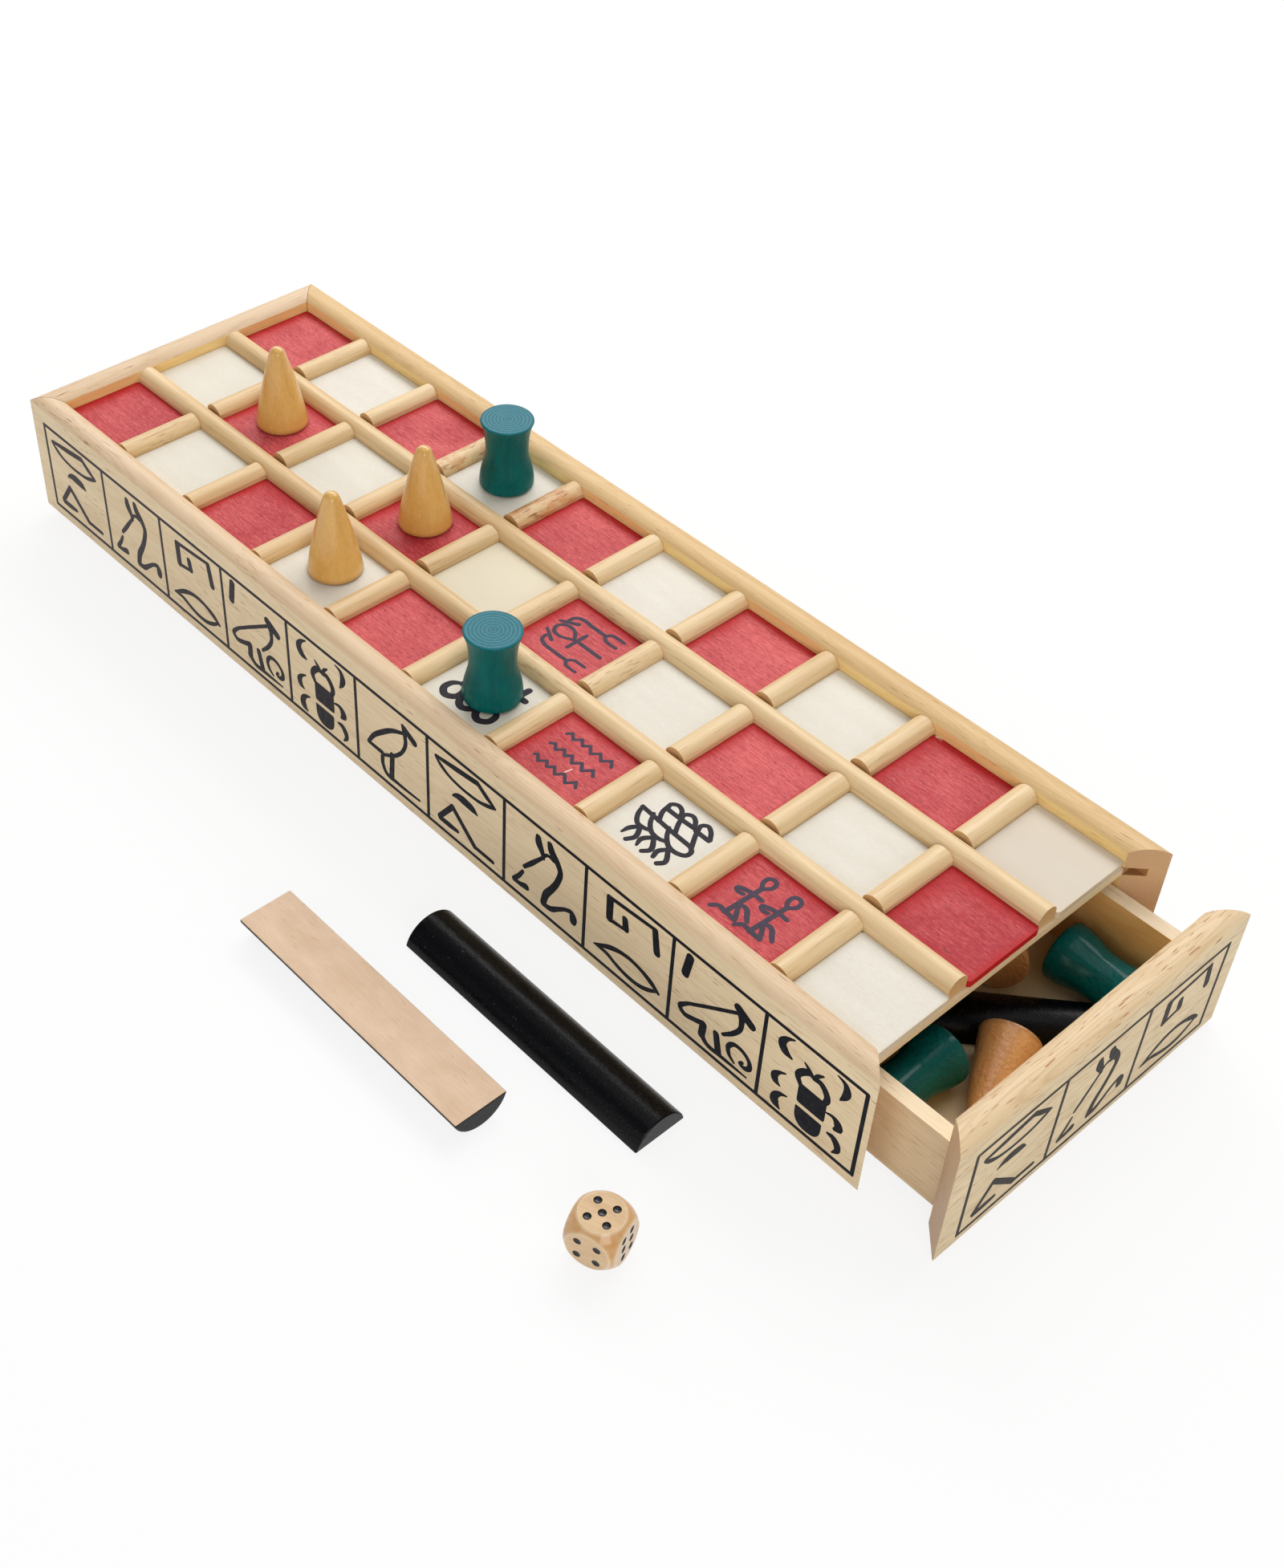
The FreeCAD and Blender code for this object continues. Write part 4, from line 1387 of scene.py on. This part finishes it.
@dataclass
class Case:
    """Four mitred sides on a pinned floor; the two long ones and the end one carry the frieze."""

    half_length: float = 200.0
    half_width: float = 62.0
    floor_thickness: float = 2.7
    groove: tuple[float, float] = (39.2, 42.0)
    frame_low: float = 7.7
    frame_high: float = 42.1
    side_rules: tuple[float, ...] = (
        -192.6, -156.1, -121.0, -85.6, -49.8, -14.3, 20.8, 56.3, 91.6, 126.9, 161.8, 197.2,
    )
    end_rules: tuple[float, ...] = (-54.2, -18.1, 18.1, 54.2)

    def build(self) -> None:
        """Dresses the wood and draws the friezes."""
        self.dress_wood()
        self.draw_friezes()

    def dress_wood(self) -> None:
        """Pine on the sides, each cut from its own board, plywood on the floor, steel on its pins."""
        corner = (-self.half_length, self.half_width)
        side = {"outer": self.half_width, "groove": self.groove, "corner": corner}
        near = Pine("pine_near_side", Grain.ALONG_X, shift=0.0, **side)
        far_tones = (225, 190, 137), (203, 162, 102)
        far = Pine("pine_far_side", Grain.ALONG_X, *far_tones, shift=21.0, **side)
        side["outer"] = self.half_length
        end = Pine("pine_end", Grain.ALONG_Y, shift=43.0, **side)
        dress("near_side_rail", near.material())
        dress("far_side_rail", far.material())
        dress("end_rail", end.material())
        dress("floor_panel", Ply("floor_plywood", 0.0, self.floor_thickness).material())
        dress("floor_pins", PinSteel("floor_pin_steel").material())

    def draw_friezes(self) -> None:
        """Eleven cells along each side and three across the end."""
        up = (0, 0, 1)
        worn = (72, 66, 66), (30, 29, 36)
        near = Sheet((0.0, -self.half_width, 0.0), (1, 0, 0), up)
        far = Sheet((0.0, self.half_width, 0.0), (-1, 0, 0), up)
        end = Sheet((-self.half_length, 0.0, 0.0), (0, -1, 0), up)
        near_ink = Ink("ink_near_side", (76, 70, 72), (13, 14, 24), -190.0, 80.0)
        for name, sheet, rules, ink in (
            ("near_frieze", near, self.side_rules, near_ink),
            ("far_frieze", far, self.side_rules, Ink("ink_far_side", *worn)),
            ("end_frieze", end, self.end_rules, Ink("ink_end", *worn)),
        ):
            Frieze(name, "box", sheet, rules, self.frame_low, self.frame_high, ink).build()


@dataclass
class Board:
    """Plywood board in the sides' groove, with plates between half-round dividers."""

    panel_low: float = 39.3
    panel_high: float = 41.9
    plate_top: float = 44.3
    inner_width: float = 53.2
    grid: Grid = Grid()
    marks: tuple[tuple[int, int, Mark, float], ...] = (
        (5, 0, Mark.THREE_LUTES, 0.8), (5, 1, Mark.ANKH_AND_SCEPTRES, 0.15),
        (6, 0, Mark.WATER, 0.25), (7, 0, Mark.THREE_BIRDS, 0.5), (8, 0, Mark.TWO_SEATED, 0.4),
    )

    def build(self) -> None:
        """Dresses the wood and draws the marks."""
        self.dress_wood()
        self.draw_marks()

    def dress_wood(self) -> None:
        """One finish for the long dividers and one for the cross ones, and two for the plates."""
        ply = Ply("board_plywood", self.panel_low, self.panel_high, tongue=self.inner_width)
        dress("board_panel", ply.material())
        long_wood = DividerWood("long_divider_wood", Grain.ALONG_X).material()
        for row in ("near", "far"):
            dress("long_divider_" + row, long_wood)
        cross_wood = DividerWood("cross_divider_wood", Grain.ALONG_Y).material()
        for row in ("near", "middle", "far"):
            for column in range(1, self.grid.columns):
                dress(f"cross_divider_{row}_{column}", cross_wood)
        dress("red_squares", RedStain().material())
        dress("plain_squares", BarePlate().material())

    def draw_marks(self) -> None:
        """Draws each mark from its own square's middle, with its own bleed of the ink."""
        on_bare = Ink("ink_on_bare_plates", (66, 62, 68), (30, 29, 36)).material()
        on_red = Ink("ink_on_red_plates", (88, 74, 86), (58, 58, 74)).material()
        for column, row, mark, bleed in self.marks:
            x = (column - (self.grid.columns - 1) / 2) * self.grid.pitch_x
            y = (row - (self.grid.rows - 1) / 2) * self.grid.pitch_y
            skin = Skin()
            sheet = Sheet((x, y, self.plate_top), (1, 0, 0), (0, 1, 0))
            mark.value.draw(skin, sheet, Brush(bleed))
            on_this = on_red if (column + row) % 2 == 0 else on_bare
            skin.piece(f"mark_{column}_{row}", on_this, "box")


@dataclass
class Drawer:
    """Front cut from the sides' moulding, on a plywood bottom with thin walls."""

    front_outer: float = 226.7
    bottom_low: float = 3.0
    bottom_high: float = 7.0
    frame_low: float = 4.1
    frame_high: float = 38.9
    wall_outer: float = 52.3
    rules: tuple[float, ...] = (-53.2, -16.7, 19.4, 55.0)

    def build(self) -> None:
        """Dresses the wood and draws the front's frieze."""
        flecks = {"fleck": (170, 102, 50), "fleck_share": 0.9, "fleck_from": 0.64}
        flecks |= {"fleck_spread": 0.3, "line_share": 0.42}
        flecks |= {"flat_pale_and_lit": (236, 215, 174), "flat_deep_and_lit": (211, 183, 139)}
        tones = (235, 210, 170), (211, 177, 132)
        front = Pine(
            "pine_drawer_front", Grain.ALONG_Y, *tones, shift=64.0, outer=self.front_outer, **flecks
        )
        dress("drawer_front", front.material())
        # Painted light on the walls: lighter tops make up for the drawer's shade, and the inner faces'
        # warmer, brighter tones are painted bounce light.
        walls = {"pale": (250, 230, 196), "deep": (236, 210, 170), "outer": self.wall_outer}
        walls |= {"flat_pale_and_lit": (231, 204, 163), "flat_deep_and_lit": (204, 170, 125)}
        walls |= {"inner_bounce_pale": (252, 208, 133), "inner_bounce_deep": (244, 174, 102)}
        wall = Pine("pine_drawer_walls", Grain.ALONG_X, shift=85.0, **walls).material()
        dress("drawer_side_near", wall)
        dress("drawer_side_far", wall)
        back = Pine("pine_drawer_back", Grain.ALONG_Y, shift=97.0, **walls)
        dress("drawer_back", back.material())
        dress("drawer_bottom", Ply("drawer_plywood", self.bottom_low, self.bottom_high).material())
        dress("drawer_pins", PinSteel("drawer_pin_steel").material())
        sheet = Sheet((self.front_outer, 0.0, 0.0), (0, 1, 0), (0, 0, 1))
        ink = Ink("ink_drawer_front", (74, 68, 64), (44, 41, 42))
        low, high = self.frame_low, self.frame_high
        Frieze("drawer_frieze", "drawer", sheet, self.rules, low, high, ink).build()


@dataclass
class GamePieces:
    """Cones, spools, throwing sticks and a die, where they stand or lie at rest."""

    cones: tuple[Stand, ...] = (
        Stand((-0.1371, 0.0016, 0.04435)),
        Stand((-0.059, 0.0029, 0.04435)),
        Stand((-0.0584, -0.0353, 0.04435)),
        Stand((0.1991, 0.0003, 0.016758), 103.426, -69.0),
        Stand((0.17895, 0.018571, 0.016758), 103.426, 118.382),
    )
    spools: tuple[Stand, ...] = (
        Stand((-0.0584, 0.0384, 0.04435)),
        Stand((0.0217, -0.0368, 0.04435)),
        Stand((0.111554, -0.017, 0.01645), 90.0, 172.0),
        Stand((0.19, -0.0175, 0.01645), 90.0, -90.0),
        Stand((0.1875, 0.0373, 0.01645), 90.0, 0.0),
    )
    stick_flats: tuple[float, ...] = (0.05, 7.65, 7.05, 14.65)

    def build(self) -> None:
        """Dresses every piece with a finish set to its own place."""
        # The cones that lie in the drawer get a redder tone, made lighter as painted light against the
        # drawer's shade.
        brown = {"pale": (249, 188, 120), "deep": (213, 145, 83), "pitted": 0.5}
        for number, stand in enumerate(self.cones, 1):
            look = brown if stand.lean else {}
            dress(f"cone_{number}", HoneyCone(f"honey_cone_{number}", stand, **look).material())
        for number, stand in enumerate(self.spools, 1):
            dress(f"spool_{number}", GreenSpool(f"green_spool_{number}", stand).material())
        for number, flat in enumerate(self.stick_flats, 1):
            dress(f"stick_{number}", ThrowingStick(f"throwing_stick_{number}", flat).material())
        dress("die", DieWood().material())


# --- studio ---


@dataclass(frozen=True)
class Lamp:
    """A square soft lamp: where it hangs, its width, its power and what it points at, in metres."""

    name: str
    place: Place
    width: float
    power: float
    aim: Place = (0.0, 0.0, 0.02)

    def hang(self) -> None:
        """Adds the lamp."""
        data = bpy.data.lights.new(self.name, "AREA")
        data.shape = "SQUARE"
        data.size = self.width
        data.energy = self.power
        lamp = add_object(self.name, data)
        lamp.location = self.place
        gaze = Vector(self.aim) - Vector(self.place)
        lamp.rotation_euler = gaze.to_track_quat("-Z", "Y").to_euler()


@dataclass
class Studio:
    """Pale floor, soft lamps, white surroundings and the camera, in metres and radians."""

    floor_half: float = 4.0
    floor_drop: float = 0.0003
    floor_tone: Rgb = (244, 244, 243)
    white_share: float = 0.85
    fade: tuple[float, float] = (0.6, 1.5)
    ambient: float = 0.2
    lamps: tuple[Lamp, ...] = (
        Lamp("lamp_over", (0.0, -0.05, 1.6), 1.2, 4.0),
        Lamp("lamp_right", (1.2, -0.7, 0.6), 0.7, 7.2),
        Lamp("lamp_back", (-0.8, 0.95, 1.25), 0.9, 12.3),
        Lamp("lamp_far", (0.0, 1.2, 1.2), 1.0, 11.4),
        Lamp("lamp_end", (-1.4, 0.5, 0.8), 0.9, 6.3),
        Lamp("lamp_front", (0.0, -1.4, 0.5), 0.9, 2.8),
    )
    camera_place: Place = (0.3741, -0.3419, 0.4593)
    camera_turn: float = 0.8142
    camera_rise: float = 0.7594
    camera_roll: float = 0.0346
    lens: float = 47.02
    sensor: float = 36.0
    shift: tuple[float, float] = (0.0547, -0.0139)
    clip: tuple[float, float] = (0.01, 50.0)

    def build(self) -> None:
        """Sets up everything round the object."""
        self.lay_floor()
        self.light_world()
        for lamp in self.lamps:
            lamp.hang()
        self.set_camera()
        bpy.context.scene.view_settings.view_transform = "Standard"

    def lay_floor(self) -> None:
        """A square floor, partly self-lit where the camera sees it, which keeps soft shadows.

        Beyond the object and its shadows, the floor fades to the white of the surroundings.
        """
        material = bpy.data.materials.new("pale_floor")
        material.use_nodes = True
        g = Nodes(material.node_tree)
        matt = g.node("ShaderNodeBsdfDiffuse", {}, {"Color": paint(*self.floor_tone)})
        glow = g.node("ShaderNodeEmission", {}, {})
        seen = g.ray("Is Camera Ray", "Is Glossy Ray", "Is Transmission Ray")
        place = g.node("ShaderNodeTexCoord", {}, {}).outputs["Object"]
        reach = g.node("ShaderNodeVectorMath", {"operation": "LENGTH"}, {0: place}).outputs["Value"]
        far = Value(g, reach).rising(*self.fade) * (1.0 - self.white_share)
        g.surface("ShaderNodeOutputMaterial", seen * (far + self.white_share), matt, glow)
        h = self.floor_half
        low = -self.floor_drop
        mesh = bpy.data.meshes.new("floor")
        corners = [(-h, -h, low), (h, -h, low), (h, h, low), (-h, h, low)]
        mesh.from_pydata(corners, [], [(0, 1, 2, 3)])
        mesh.materials.append(material)
        add_object("floor", mesh)

    def light_world(self) -> None:
        """White to the camera, and an even soft fill to everything else."""
        world = bpy.data.worlds.new("studio")
        bpy.context.scene.world = world
        world.use_nodes = True
        g = Nodes(world.node_tree)
        white = {"Color": (1.0, 1.0, 1.0, 1.0)}
        fill = g.node("ShaderNodeBackground", {}, white | {"Strength": self.ambient})
        backdrop = g.node("ShaderNodeBackground", {}, white)
        g.surface("ShaderNodeOutputWorld", g.ray("Is Camera Ray"), fill, backdrop)

    def set_camera(self) -> None:
        """Turns about the vertical, tips down and rolls a little, then steps to its place."""
        data = bpy.data.cameras.new("camera")
        data.lens = self.lens
        data.sensor_width = self.sensor
        data.sensor_fit = "AUTO"
        data.shift_x, data.shift_y = self.shift
        data.clip_start, data.clip_end = self.clip
        camera = add_object("camera", data)
        turn = Matrix.Rotation(self.camera_turn, 4, "Z")
        tip = Matrix.Rotation(math.pi / 2 - self.camera_rise, 4, "X")
        roll = Matrix.Rotation(self.camera_roll, 4, "Z")
        camera.matrix_world = Matrix.Translation(self.camera_place) @ turn @ tip @ roll
        bpy.context.scene.camera = camera


def main() -> None:
    """Builds the looks in order, and the studio last."""
    logging.basicConfig(level=logging.INFO, format="%(name)s: %(message)s")
    for part in (Case(), Board(), Drawer(), GamePieces(), Studio()):
        part.build()
        log.info("finished %s", type(part).__name__)


if __name__ == "__main__":
    main()
